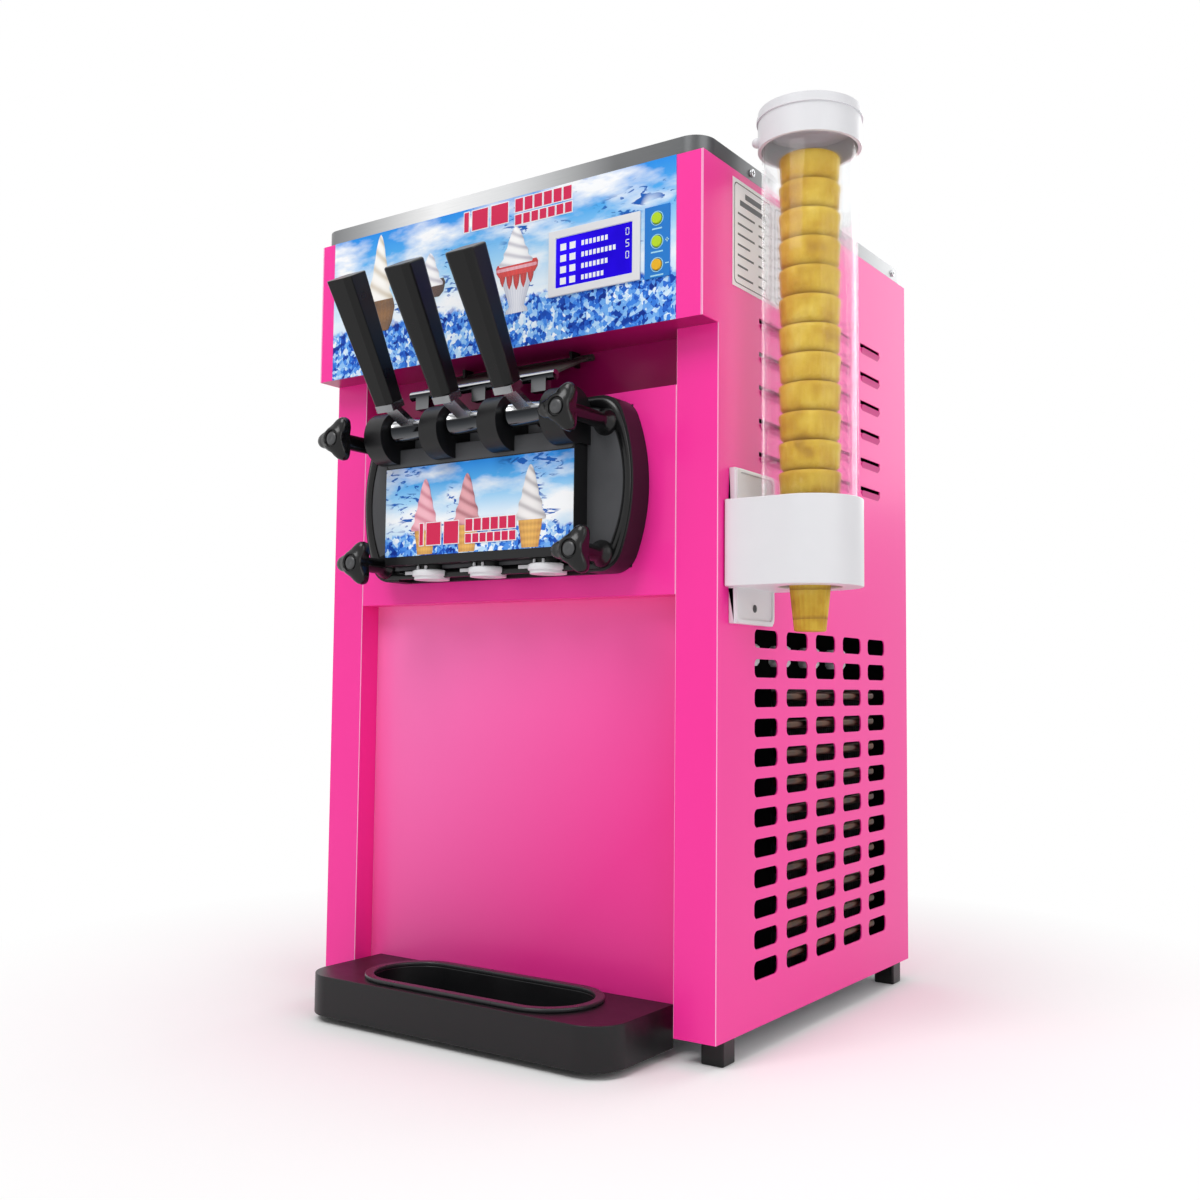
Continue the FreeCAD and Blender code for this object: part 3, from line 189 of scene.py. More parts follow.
def chromed_round(name, centre_y, centre_z):
    """Chrome on a bar that runs along X: bright, dark and bright bands round the bar, as a studio lights it."""
    made, tree, shader, place = start_material(name, "#D9DADC", 0.12, 1.0)
    parts = add(tree, "ShaderNodeSeparateXYZ", {"Vector": place})
    rise = add(tree, "ShaderNodeMath", {0: parts.outputs[2], 1: -centre_z * MM}, operation="ADD")
    reach = add(tree, "ShaderNodeMath", {0: parts.outputs[1], 1: -centre_y * MM}, operation="ADD")
    turn = add(tree, "ShaderNodeMath", {0: rise, 1: reach}, operation="ARCTAN2")
    share = add(tree, "ShaderNodeMapRange", {"Value": turn, "From Min": -math.pi, "From Max": math.pi})
    bands = add(tree, "ShaderNodeValToRGB", {"Fac": share}, stops=[
        (0.0, "#26282B"), (0.06, "#3B3D40"), (0.80, "#E4E5E7"), (0.86, "#F7F7F8"), (0.90, "#8C8E91"),
        (0.94, "#E9EAEB"), (0.98, "#2B2C2F")])
    tree.links.new(bands.outputs[0], shader.inputs["Base Color"])
    return made


def galvanised():
    """Hot-dip zinc on sheet: flat crystals 9 mm across, each a little lighter or darker."""
    made, tree, shader, place = start_material("galvanised_sheet", "#A9AEB2", 0.42, 1.0)
    spangle = add(tree, "ShaderNodeTexVoronoi", {"Vector": place, "Scale": 1 / (9 * MM)})
    grey = add(tree, "ShaderNodeSeparateColor", {"Color": spangle.outputs["Color"]})
    tone = add(tree, "ShaderNodeValToRGB", {"Fac": grey}, stops=[(0.0, "#8D9296"), (1.0, "#BDC2C5")])
    tree.links.new(tone.outputs[0], shader.inputs["Base Color"])
    rough = add(tree, "ShaderNodeMapRange", {"Value": grey, "To Min": 0.34, "To Max": 0.52})
    tree.links.new(rough.outputs[0], shader.inputs["Roughness"])
    return made


# ---------------------------------------------------------------- materials: plastics and the rest
def moulded(name, colour, roughness, grain=0.35, depth=0.03, tint=None, shine=0.35, **sockets):
    """Injection moulding: a fine etched grain of that size in mm, and slight sink marks in the gloss."""
    made, tree, shader, place = start_material(name, colour, roughness, Specular_IOR_Level=shine, **sockets)
    fine = add(tree, "ShaderNodeTexNoise", {"Vector": place, "Scale": 1 / (grain * MM), "Detail": 2.0})
    slow = add(tree, "ShaderNodeTexNoise", {"Vector": place, "Scale": 1 / (28 * MM), "Detail": 2.0})
    rough = add(tree, "ShaderNodeMapRange", {
        "Value": slow, "To Min": roughness * 0.82, "To Max": roughness * 1.2})
    tree.links.new(rough.outputs[0], shader.inputs["Roughness"])
    share = add(tree, "ShaderNodeMapRange", {"Value": slow, "To Min": 0.0, "To Max": 0.5})
    tone = add(tree, "ShaderNodeMix", {"Factor": share, 6: linear(colour), 7: linear(tint or colour)},
               data_type="RGBA")
    tree.links.new(tone.outputs[2], shader.inputs["Base Color"])
    ripple = add(tree, "ShaderNodeBump", {"Height": fine, "Strength": 0.5, "Distance": depth * MM})
    tree.links.new(ripple.outputs[0], shader.inputs["Normal"])
    return made


def wafer():
    """Baked wafer: ochre with painted shade just above each rim of the stack, where one cup sits in the next,
    streaks and a dry pitted skin.
    """
    made, tree, shader, place = start_material("baked_wafer", "#D0A63A", 0.62)
    patch = add(tree, "ShaderNodeTexNoise", {"Vector": place, "Scale": 1 / (20 * MM), "Detail": 4.0})
    baked = add(tree, "ShaderNodeValToRGB", {"Fac": patch}, stops=[
        (0.25, "#A0760F"), (0.8, "#EDD565"), (0.42, "#C9A01F"), (0.6, "#DCBB3A")])
    parts = add(tree, "ShaderNodeSeparateXYZ", {"Vector": place})
    wobble = add(tree, "ShaderNodeMapRange", {"Value": patch, "To Min": -1.5 * MM, "To Max": 1.5 * MM})
    height = add(tree, "ShaderNodeMath", {0: parts.outputs[2], 1: wobble}, operation="ADD")
    lifted = add(tree, "ShaderNodeMath", {0: height, 1: -(CONE_BASE + CONE_HEIGHT) * MM}, operation="ADD")
    # Painted shade in the crease just above each rim of the stack
    turns = add(tree, "ShaderNodeMath", {0: lifted, 1: CONE_PITCH * MM}, operation="FLOORED_MODULO")
    rim = add(tree, "ShaderNodeMapRange", {
        "Value": turns, "From Min": 0.0, "From Max": 3.2 * MM, "To Min": 0.75, "To Max": 0.0})
    crease_shaded = add(tree, "ShaderNodeMix", {"Factor": rim, 6: baked, 7: linear("#7A4A0C")}, data_type="RGBA")
    drawn = add(tree, "ShaderNodeMapping", {"Vector": place, "Scale": (1.0, 1.0, 0.12)})
    streak = add(tree, "ShaderNodeTexNoise", {"Vector": drawn, "Scale": 1 / (3 * MM), "Detail": 3.0})
    share = add(tree, "ShaderNodeMapRange", {"Value": streak, "To Min": 0.0, "To Max": 0.5})
    tone = add(tree, "ShaderNodeMix", {"Factor": share, 6: crease_shaded.outputs[2], 7: linear("#B8861C")},
               data_type="RGBA")
    tree.links.new(tone.outputs[2], shader.inputs["Base Color"])
    speck = add(tree, "ShaderNodeTexNoise", {"Vector": place, "Scale": 1 / (2.2 * MM), "Detail": 3.0})
    ripple = add(tree, "ShaderNodeBump", {"Height": speck, "Strength": 0.6, "Distance": 0.3 * MM})
    tree.links.new(ripple.outputs[0], shader.inputs["Normal"])
    return made


def clear_acrylic():
    """Extruded acrylic tube: water-clear and glossy, with the slight haze of handling."""
    made, tree, shader, place = start_material(
        "clear_acrylic", "#F8FBFD", 0.04, Transmission_Weight=1.0, IOR=1.06, Alpha=0.22,
        Coat_Weight=1.0, Coat_Roughness=0.05)
    haze = add(tree, "ShaderNodeTexNoise", {"Vector": place, "Scale": 1 / (30 * MM), "Detail": 3.0})
    rough = add(tree, "ShaderNodeMapRange", {"Value": haze, "To Min": 0.02, "To Max": 0.07})
    tree.links.new(rough.outputs[0], shader.inputs["Roughness"])
    return made


def ice_print(name, low, high, ice, shards):
    """Printed film between two heights in mm: blue sky, white haze and crushed ice up to a share of the height.

    Dark glints on splinters of ice stand in patches, wider ones with more shards.
    """
    made, tree, shader, place = start_material(name, "#7CC3F2", 0.4, Specular_IOR_Level=0.12)
    parts = add(tree, "ShaderNodeSeparateXYZ", {"Vector": place})
    height = add(tree, "ShaderNodeMapRange", {
        "Value": parts.outputs[2], "From Min": low * MM, "From Max": high * MM})
    sky = add(tree, "ShaderNodeValToRGB", {"Fac": height}, stops=[
        (0.0, "#A9D8F8"), (1.0, "#2C90EA"), (0.40, "#E4F2FD"), (0.60, "#A4D6F8"), (0.80, "#55AEF0")])
    # Haze and cloud
    drawn = add(tree, "ShaderNodeMapping", {
        "Vector": place, "Rotation": (0, 0.35, 0), "Scale": (0.35, 1.0, 1.0)})
    cloud = add(tree, "ShaderNodeTexNoise", {"Vector": drawn, "Scale": 1 / (24 * MM), "Detail": 5.0})
    veil = add(tree, "ShaderNodeMapRange", {"Value": cloud, "From Min": 0.46, "From Max": 0.66})
    hazy = add(tree, "ShaderNodeMix", {"Factor": veil, 6: sky, 7: linear("#FBFDFF")}, data_type="RGBA")
    # Splinters of ice: thin dark and pale strokes inside patches
    leaning = add(tree, "ShaderNodeMapping", {
        "Vector": place, "Rotation": (0, 0.5, 0), "Scale": (0.3, 1.0, 1.0)})
    stroke = add(tree, "ShaderNodeTexNoise", {
        "Vector": leaning, "Scale": 1 / (5 * MM), "Detail": 4.0, "Distortion": 1.2})
    ink = add(tree, "ShaderNodeMapRange", {"Value": stroke, "From Min": 0.565, "From Max": 0.60})
    patch = add(tree, "ShaderNodeTexNoise", {"Vector": place, "Scale": 1 / (42 * MM), "Detail": 1.0})
    inside = add(tree, "ShaderNodeMapRange", {
        "Value": patch, "From Min": 0.62 - shards, "From Max": 0.68 - shards})
    drawn_ink = add(tree, "ShaderNodeMath", {0: ink, 1: inside}, operation="MULTIPLY")
    inked = add(tree, "ShaderNodeMix", {"Factor": drawn_ink, 6: hazy.outputs[2], 7: linear("#1D5FB8")},
                data_type="RGBA")
    # Crushed ice: big and small facets, each with a tone of its own
    facet = add(tree, "ShaderNodeTexVoronoi", {"Vector": place, "Scale": 1 / (9.5 * MM)})
    chip = add(tree, "ShaderNodeTexVoronoi", {"Vector": place, "Scale": 1 / (3.8 * MM)}, distance="MANHATTAN")
    tone_a = add(tree, "ShaderNodeSeparateColor", {"Color": facet.outputs["Color"]})
    tone_b = add(tree, "ShaderNodeSeparateColor", {"Color": chip.outputs["Color"]})
    blend = add(tree, "ShaderNodeMix", {"Factor": 0.62, "A": tone_a, "B": tone_b})
    crushed = add(tree, "ShaderNodeValToRGB", {"Fac": blend}, stops=[
        (0.12, "#12328F"), (0.92, "#F4FAFF"), (0.3, "#1F57C4"), (0.45, "#3F86E6"), (0.6, "#7DB8F4"),
        (0.75, "#BFE0FB")])
    ragged = add(tree, "ShaderNodeTexNoise", {"Vector": place, "Scale": 1 / (14 * MM), "Detail": 3.0})
    shift = add(tree, "ShaderNodeMapRange", {"Value": ragged, "To Min": -0.12, "To Max": 0.12})
    level = add(tree, "ShaderNodeMath", {0: height, 1: shift}, operation="ADD")
    under = add(tree, "ShaderNodeMapRange", {"Value": level, "From Min": ice + 0.02, "From Max": ice - 0.02})
    final = add(tree, "ShaderNodeMix", {"Factor": under, 6: inked.outputs[2], 7: crushed}, data_type="RGBA")
    tree.links.new(final.outputs[2], shader.inputs["Base Color"])
    return made


def printed_picture():
    """Picture printed on the film: its inks are kept with the mesh, over a fine dot of the press."""
    made, tree, shader, place = start_material("printed_picture", "#FFFFFF", 0.35, Specular_IOR_Level=0.25)
    ink = add(tree, "ShaderNodeAttribute", attribute_name="ink")
    dots = add(tree, "ShaderNodeTexNoise", {"Vector": place, "Scale": 1 / (0.8 * MM), "Detail": 1.0})
    share = add(tree, "ShaderNodeMapRange", {"Value": dots, "To Min": 0.0, "To Max": 0.12})
    tone = add(tree, "ShaderNodeMix", {"Factor": share, 6: ink.outputs["Color"], 7: linear("#FFFFFF")},
               data_type="RGBA")
    tree.links.new(tone.outputs[2], shader.inputs["Base Color"])
    return made


def lit_screen():
    """Backlit blue display glass, a little brighter in drifts of its backlight."""
    made, tree, shader, place = start_material("lit_screen", "#1C00C8", 0.5, Emission_Strength=0.5,
                                               Specular_IOR_Level=0.05)
    drift = add(tree, "ShaderNodeTexNoise", {"Vector": place, "Scale": 1 / (30 * MM), "Detail": 1.0})
    tone = add(tree, "ShaderNodeValToRGB", {"Fac": drift}, stops=[(0.3, "#1800B4"), (0.7, "#2406D8")])
    tree.links.new(tone.outputs[0], shader.inputs["Base Color"])
    tree.links.new(tone.outputs[0], shader.inputs["Emission Color"])
    return made


PINK = powder_coat("pink_powder_coat", "#FC2A9E", "#FF5CB6")
# Painted highlight on the lower panel, paler towards its upper left
PINK_PANEL = powder_coat("pink_powder_coat_with_painted_highlight_on_lower_panel", "#F63299", "#FF86C8", 0.02, 0.36, 0.36)
# Pale pink on the folds is a painted highlight
PINK_FOLD_HIGHLIGHT = powder_coat("pink_painted_highlight_on_folds", "#FFB4DC", "#FFC4E4")
# Darker pink on the louvre flaps is painted shade
PINK_SHADE = powder_coat("pink_powder_coat_with_painted_shade_on_flaps", "#D01880", "#E02C90")
# Darker pink in the slot under the header is painted shade
PINK_RECESS_SHADE = powder_coat("pink_powder_coat_with_painted_shade_in_recesses", "#AC0A64", "#C01474")
# The top's white and dark bands are painted reflection
CAP_STEEL = brushed_steel("brushed_stainless_top", "x", 0.34, [
    (0.0, "#77787A"), (1.0, "#B9BABB"), (0.06, "#A9AAAB"), (0.17, "#FFFFFF"), (0.27, "#E2E3E4"),
    (0.40, "#6E6F70"), (0.56, "#4A4B4C"), (0.615, "#6A6B6C"), (0.655, "#F0F0F1"), (0.70, "#D8D9DA"),
    (0.78, "#6F7072")], (-0.43, 0.41))
HOPPER_STEEL = brushed_steel("brushed_stainless_hopper", "y", 0.25,
                             [(0.0, "#C2C3C5"), (1.0, "#D6D7D8")], (-0.4, 0.4))
BARREL_STEEL = brushed_steel("brushed_stainless_inside", "z", 0.3,
                             [(0.0, "#A9AAAC"), (1.0, "#BDBEC0")], (-0.4, 0.4))
LEVER_STEEL = polished_metal("satin_stainless_casting", "#A3A4A6", "#88898C", 0.22, 40.0)
CHROME = polished_metal("bright_chrome", "#DCDDDF", "#AEB0B3", 0.1)
SHAFT_CHROME = chromed_round("bright_chrome_shaft", *PIVOT)
BAR_CHROME = chromed_round("bright_chrome_bar", -233.3, 545.0)
ZINC = galvanised()
BLACK_SATIN = moulded("black_moulded_nylon", "#0E0E10", 0.38, tint="#151517")
BLACK_GLOSS = moulded("black_polished_phenolic", "#09090A", 0.22, grain=1.2, depth=0.02, tint="#0E0E0F")
BLACK_GRIP = moulded("black_moulded_grip", "#080809", 0.3, grain=0.9, depth=0.05, tint="#0D0D0E", shine=0.28)
GRAINED_GREY = moulded("grained_grey_face", "#4E4F52", 0.55, grain=1.3, depth=0.25, tint="#3A3B3E")
FLAP_GREY = moulded("black_painted_flap", "#4A4B47", 0.4, grain=0.8, depth=0.03, tint="#1B1C1B")
TRAY_RING = moulded("grey_satin_ring", "#2C2D2F", 0.28, grain=0.9, depth=0.02, tint="#3A3B3D")
CAP_GREY = moulded("grey_press_in_cap", "#3E3F41", 0.3, tint="#333436", shine=0.6)
WHITE_ABS = moulded("white_moulded_abs", "#E4E4E7", 0.32, grain=0.9, depth=0.02, tint="#DADBDF")
WHITE_INK = moulded("white_screen_print", "#F4F4F8", 0.4, grain=0.6, depth=0.005)
# Black in the recesses of screw heads is painted shade
RECESS_BLACK_SHADE = moulded("black_painted_shade_in_screw_recesses", "#0B0B0C", 0.4, tint="#111112")
# Black for the motor and compressor shells, and black as painted shade on the panels' inner faces
BLACK_SHELL_AND_PAINTED_SHADE = moulded("black_steel_shell_and_painted_shade", "#101112", 0.35, grain=1.5, depth=0.05)
FOAM = moulded("cream_insulation_foam", "#E8DFC2", 0.85, grain=1.6, depth=0.3, tint="#D8CBA4")
# Dark fins and coil: painted shade for the dim inside of the cabinet
FINS_IN_PAINTED_SHADE = polished_metal("aluminium_fins_darkened_as_painted_shade", "#3E4042", "#2A2B2D", 0.45)
COIL_IN_PAINTED_SHADE = polished_metal("copper_coil_darkened_as_painted_shade", "#5A3A22", "#2C1D12", 0.3)
WAFER = wafer()
ACRYLIC = clear_acrylic()
HEADER_PRINT = ice_print("printed_film_on_header", HEADER_BOTTOM, CAP_BOTTOM, 0.33, 0.02)
DECAL_PRINT = ice_print("printed_film_on_head", 402.5, 480.5, 0.24, 0.12)
PICTURE = printed_picture()
SCREEN_BLUE = lit_screen()
PLATE_BLUE = moulded("blue_overlay", "#1577CC", 0.3, grain=2.0, depth=0.01)
BUTTON_GREEN = moulded("yellow_green_button", "#B4D81E", 0.3, grain=1.0, depth=0.02)
BUTTON_AMBER = moulded("amber_button", "#E8B21C", 0.3, grain=1.0, depth=0.02)
RED_INK = moulded("red_screen_print", "#D21A50", 0.35, grain=0.6, depth=0.005)
GREY_INK = moulded("grey_screen_print", "#4A4B4F", 0.45, grain=0.6, depth=0.005)
PALE_INK = moulded("pale_screen_print", "#9FD8F0", 0.4)


# ---------------------------------------------------------------- pieces: helpers
def applied(obj):
    """The object with its modifiers made part of its mesh."""
    evaluated = obj.evaluated_get(bpy.context.evaluated_depsgraph_get())
    mesh = bpy.data.meshes.new_from_object(evaluated)
    obj.modifiers.clear()
    obj.data = mesh
    return obj


def piece(name, bm, body, finishes, stands_for=(), edge=0.0, segments=2, angle=32, turn_out=True):
    """Makes a piece from a bmesh, rounds its edges by edge mm and lets it ride on a body."""
    if turn_out:
        bmesh.ops.recalc_face_normals(bm, faces=bm.faces)
    mesh = bpy.data.meshes.new(name)
    bm.to_mesh(mesh)
    bm.free()
    for finish in finishes:
        mesh.materials.append(finish)
    obj = bpy.data.objects.new(name, mesh)
    bpy.context.scene.collection.objects.link(obj)
    mesh.polygons.foreach_set("use_smooth", [True] * len(mesh.polygons))
    if edge:
        rounding = obj.modifiers.new("rounded_edges", "BEVEL")
        rounding.width = edge * MM
        rounding.segments = segments
        rounding.angle_limit = math.radians(angle)
        shading = obj.modifiers.new("flat_faces_stay_flat", "WEIGHTED_NORMAL")
        shading.weight = 100
        applied(obj)
    else:
        mesh.set_sharp_from_angle(angle=math.radians(angle))
    obj.data.name = name
    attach(obj, body)
    if stands_for:
        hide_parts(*stands_for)
    return obj


def body_of(node):
    """The body a CAD node rides on."""
    return cad[node]["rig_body"]


def merged_copy(node, flat=1.0):
    """A CAD node's mesh with its loose triangles joined and its flat faces made whole, unless flat is 0."""
    bm = bmesh.new()
    bm.from_mesh(cad[node].data)
    bmesh.ops.remove_doubles(bm, verts=bm.verts, dist=0.002 * MM)
    if flat:
        bmesh.ops.dissolve_limit(bm, angle_limit=math.radians(flat), verts=bm.verts, edges=bm.edges)
    return bm


def softened(node, finish, edge, segments=2, angle=32):
    """Stands for a CAD node whose shape is right, with its sharp edges rounded by edge mm."""
    return piece(node + "_finished", merged_copy(node), body_of(node), [finish],
                 [node], edge, segments, angle, turn_out=False)


def keep(node, finish):
    """A CAD node shown as it is."""
    mesh = cad[node].data
    mesh.materials.clear()
    mesh.materials.append(finish)
    mesh.polygons.foreach_set("use_smooth", [True] * len(mesh.polygons))


def add_box(bm, low, high, finish=0):
    """Adds a closed box between two corners in mm."""
    middle = [(a + b) / 2 * MM for a, b in zip(low, high)]
    sides = [abs(b - a) * MM for a, b in zip(low, high)]
    place = Matrix.Translation(middle) @ Matrix.Diagonal(sides + [1.0])
    made = bmesh.ops.create_cube(bm, size=1.0, matrix=place)
    for face in {face for corner in made["verts"] for face in corner.link_faces}:
        face.material_index = finish


def add_rings(bm, rings, finish=0, joined=False):
    """Adds a closed skin through equal rings of points in mm; joined runs the last ring back to the first."""
    loops = [[bm.verts.new([c * MM for c in point]) for point in ring] for ring in rings]
    pairs = list(zip(loops, loops[1:])) + ([(loops[-1], loops[0])] if joined else [])
    faces = []
    for one, two in pairs:
        for index in range(len(one)):
            after = (index + 1) % len(one)
            faces.append(bm.faces.new((one[index], one[after], two[after], two[index])))
    if not joined:
        faces += [bm.faces.new(loops[0][::-1]), bm.faces.new(loops[-1])]
    for face in faces:
        face.material_index = finish


def circle(centre, axis, radius, along=0.0, segments=48):
    """Ring of points about an axis through centre; radius in mm may be a function of the turn."""
    ring = []
    for index in range(segments):
        turn = 2 * math.pi * index / segments
        reach = radius(turn) if callable(radius) else radius
        a, b = reach * math.cos(turn), reach * math.sin(turn)
        offset = {"x": (along, a, b), "y": (a, along, b), "z": (a, b, along)}[axis]
        ring.append([c + o for c, o in zip(centre, offset)])
    return ring


def add_turned(bm, centre, axis, profile, segments=48, finish=0, joined=False):
    """Adds a turned part from (radius, distance along the axis) pairs."""
    rings = [circle(centre, axis, radius, along, segments) for radius, along in profile]
    add_rings(bm, rings, finish, joined)


def rounded_rectangle(x, z, half_x, half_z, corner, y, steps=6):
    """Ring of points facing the front, for frames and plates."""
    ring = []
    for turn, sx, sz in ((0, 1, 1), (90, -1, 1), (180, -1, -1), (270, 1, -1)):
        for step in range(steps + 1):
            angle = math.radians(turn + 90 * step / steps)
            ring.append((x + sx * (half_x - corner) + corner * math.cos(angle), y,
                         z + sz * (half_z - corner) + corner * math.sin(angle)))
    return ring


def rows_and_columns():
    """Node tree that sets an item out in rows and columns, each scaled at random between two limits."""
    tree = bpy.data.node_groups.new("rows_and_columns", "GeometryNodeTree")
    sockets = (("Item", "Object"), ("Columns", "Int"), ("Rows", "Int"), ("Column Step", "Vector"),
               ("Row Step", "Vector"), ("Start", "Vector"), ("Smallest", "Vector"), ("Seed", "Int"),
               ("Finish", "Material"))
    for name, kind in sockets:
        tree.interface.new_socket(name, in_out="INPUT", socket_type="NodeSocket" + kind)
    tree.interface.new_socket("Geometry", in_out="OUTPUT", socket_type="NodeSocketGeometry")
    given = add(tree, "NodeGroupInput").outputs
    row = add(tree, "GeometryNodeMeshLine", {
        "Count": given["Columns"], "Start Location": given["Start"], "Offset": given["Column Step"]},
        mode="OFFSET")
    column = add(tree, "GeometryNodeMeshLine", {"Count": given["Rows"], "Offset": given["Row Step"]},
                 mode="OFFSET")
    grid = add(tree, "GeometryNodeInstanceOnPoints", {"Points": column, "Instance": row})
    places = add(tree, "GeometryNodeRealizeInstances", {"Geometry": grid})
    item = add(tree, "GeometryNodeObjectInfo", {"Object": given["Item"]})
    size = add(tree, "FunctionNodeRandomValue", {0: given["Smallest"], 1: (1, 1, 1), "Seed": given["Seed"]},
               data_type="FLOAT_VECTOR")
    placed = add(tree, "GeometryNodeInstanceOnPoints", {
        "Points": places, "Instance": item.outputs["Geometry"], "Scale": size})
    solid = add(tree, "GeometryNodeRealizeInstances", {"Geometry": placed})
    finished = add(tree, "GeometryNodeSetMaterial", {"Geometry": solid, "Material": given["Finish"]})
    add(tree, "NodeGroupOutput", {"Geometry": finished})
    return tree


REPEAT = rows_and_columns()


def repeated(name, bm, body, finish, columns, rows, column_step, row_step, start,
             smallest=(1, 1, 1), seed=1, stands_for=()):
    """Makes one piece of many equal items; steps and start in mm."""
    bmesh.ops.recalc_face_normals(bm, faces=bm.faces)
    mesh = bpy.data.meshes.new(name + "_item")
    bm.to_mesh(mesh)
    bm.free()
    mesh.polygons.foreach_set("use_smooth", [True] * len(mesh.polygons))
    mesh.set_sharp_from_angle(angle=math.radians(32))
    item = bpy.data.objects.new(name + "_item", mesh)
    holder = bpy.data.objects.new(name, bpy.data.meshes.new(name))
    for obj in (item, holder):
        bpy.context.scene.collection.objects.link(obj)
    modifier = holder.modifiers.new("rows_and_columns", "NODES")
    modifier.node_group = REPEAT
    values = {"Item": item, "Columns": columns, "Rows": rows, "Column Step": [c * MM for c in column_step],
              "Row Step": [c * MM for c in row_step], "Start": [c * MM for c in start], "Smallest": smallest,
              "Seed": seed, "Finish": finish}
    for socket in REPEAT.interface.items_tree:
        if socket.in_out == "INPUT":
            modifier[socket.identifier] = values[socket.name]
    applied(holder)
    holder.data.name = name
    bpy.data.objects.remove(item)
    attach(holder, body)
    if stands_for:
        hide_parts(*stands_for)


# ---------------------------------------------------------------- cabinet
def folded_panel(node, finish=PINK, painted_shade_test=None, black=None):
    """Panel whose upright folds at the front carry a pale painted highlight; the two tests that follow pick
    faces of their own, the first for darker pink as painted shade and black for black.
    """
    bm = merged_copy(node)
    for face in bm.faces:
        centre = face.calc_center_median() / MM
        # Inner faces and faces that look to the back take black, painted shade for the dark inside
        inward = centre.x * face.normal.x < -0.9 * abs(centre.x) and centre.y > -150
        if inward and face.calc_area() > 4e-4 or face.normal.y > 0.9:
            face.material_index = 3
        # Faces this test picks take darker pink as painted shade
        if painted_shade_test and painted_shade_test(centre, face.normal):
            face.material_index = 2
        if black and black(centre, face.normal):
            face.material_index = 3
    folds = []
    for edge in bm.edges:
        a, b = (corner.co for corner in edge.verts)
        upright = abs(a.z - b.z) > 60 * MM and abs(a.x - b.x) + abs(a.y - b.y) < 0.1 * MM
        if upright and a.y < (COLUMN_Y + 30) * MM and edge.is_manifold and edge.calc_face_angle(0) > 1.0:
            folds.append(edge)
    # Pale painted highlight on the upright folds
    bmesh.ops.bevel(bm, geom=folds, offset=0.55 * MM, offset_type="OFFSET", segments=2, profile=0.5,
                    affect="EDGES", material=1, clamp_overlap=True)
    piece(node + "_finished", bm, body_of(node), [finish, PINK_FOLD_HIGHLIGHT, PINK_RECESS_SHADE, BLACK_SHELL_AND_PAINTED_SHADE],
          [node], 0.3, 2, 40, turn_out=False)


def in_slot(centre, normal):
    """Faces in the shade of the slot above the head; they take darker pink as painted shade."""
    return FRONT_Y + 2 < centre.y < SLOT_Y + 3 and centre.z > SLOT_BOTTOM - 1


def under_header(centre, normal):
    """The header's underside, and its faces in the slot; they take darker pink as painted shade."""
    underside = normal.z < -0.5 and abs(centre.z - HEADER_BOTTOM) < 2
    return underside or in_slot(centre, normal) and centre.z < HEADER_BOTTOM


def flap_ear(centre, normal):
    """The two ears that carry the switch flap."""
    beside = abs(abs(centre.x) - 60) < 2.5 and -188 < centre.y < SLOT_Y - 1
    return beside and centre.z < HEADER_BOTTOM - 0.5


folded_panel("side_panel_right")
folded_panel("side_panel_left")
folded_panel("head_panel", PINK, in_slot)
folded_panel("lower_front_panel", PINK_PANEL)
folded_panel("header_shell", PINK, under_header, flap_ear)
# The back panel's inside takes black as painted shade, as the other panels' insides do
back = softened("back_panel", PINK, 0.3)
back.data.materials.append(BLACK_SHELL_AND_PAINTED_SHADE)
for polygon in back.data.polygons:
    if polygon.normal.y < -0.9:
        polygon.material_index = 1
# The cap's faces stay triangles, because one face can't run round its two openings
piece("top_cap_finished", merged_copy("top_cap", 0), "cabinet", [CAP_STEEL], ["top_cap"],
      1.2, 3, turn_out=False)
softened("feet", BLACK_GLOSS, 1.2, 3)


LOUVRE_LENGTH, LOUVRE_STEP, LOUVRE_DROP, LOUVRE_TOP = 47, 70, 27.9, 622.5
FIRST_LOUVRE_Y = FRONT_Y + 117


def pressed_flap(out, sign=1):
    """Flap pressed out below a vent slot: proud under the slot and dying into the sheet below it."""
    bm = bmesh.new()
    half = LOUVRE_LENGTH / 2
    rings = []
    for share, scale in ((0.0, 0.90), (0.25, 1.0), (0.6, 0.97), (1.0, 0.85)):
        drop = -2.1 - share * 5.6
        proud = 1.5 * (1 - share) ** 1.4 + 0.12
        root, tip = half * scale, half * scale * 0.94
        ring = [(-1, -root), (-1, root), (proud, tip), (proud, -tip)]
        rings.append([(sign * a, b, drop) if out == "x" else (b, a, drop) for a, b in ring])
    add_rings(bm, rings)
    return bm


# On the right, the label stands where the first two flaps of the top row would be
for name, sign, first, columns, top, rows in (
        ("right_rear", 1, 2, 2, LOUVRE_TOP, 6), ("right_front", 1, 0, 2, LOUVRE_TOP - LOUVRE_DROP, 5),
        ("left_rear", -1, 0, 4, LOUVRE_TOP, 6)):
    repeated("louvre_flaps_" + name, pressed_flap("x", sign), "cabinet", PINK_SHADE, columns, rows,
             (0, LOUVRE_STEP, 0), (0, 0, -LOUVRE_DROP),
             (sign * HALF_WIDTH, FIRST_LOUVRE_Y + LOUVRE_STEP * first, top))
repeated("louvre_flaps_back", pressed_flap("y"), "cabinet", PINK_SHADE, 4, 4,
         (LOUVRE_STEP, 0, 0), (0, 0, LOUVRE_DROP), (-1.5 * LOUVRE_STEP, BACK_Y, 454))


def screw_head(axis):
    """Domed screw head with a cross recess, 6.4 mm across."""
    bm = bmesh.new()
    add_turned(bm, (0, 0, 0), axis, [(3.3, -1.0), (3.3, 0.5), (2.9, 1.2), (1.9, 1.75), (0.6, 1.9)], 24)
    return bm


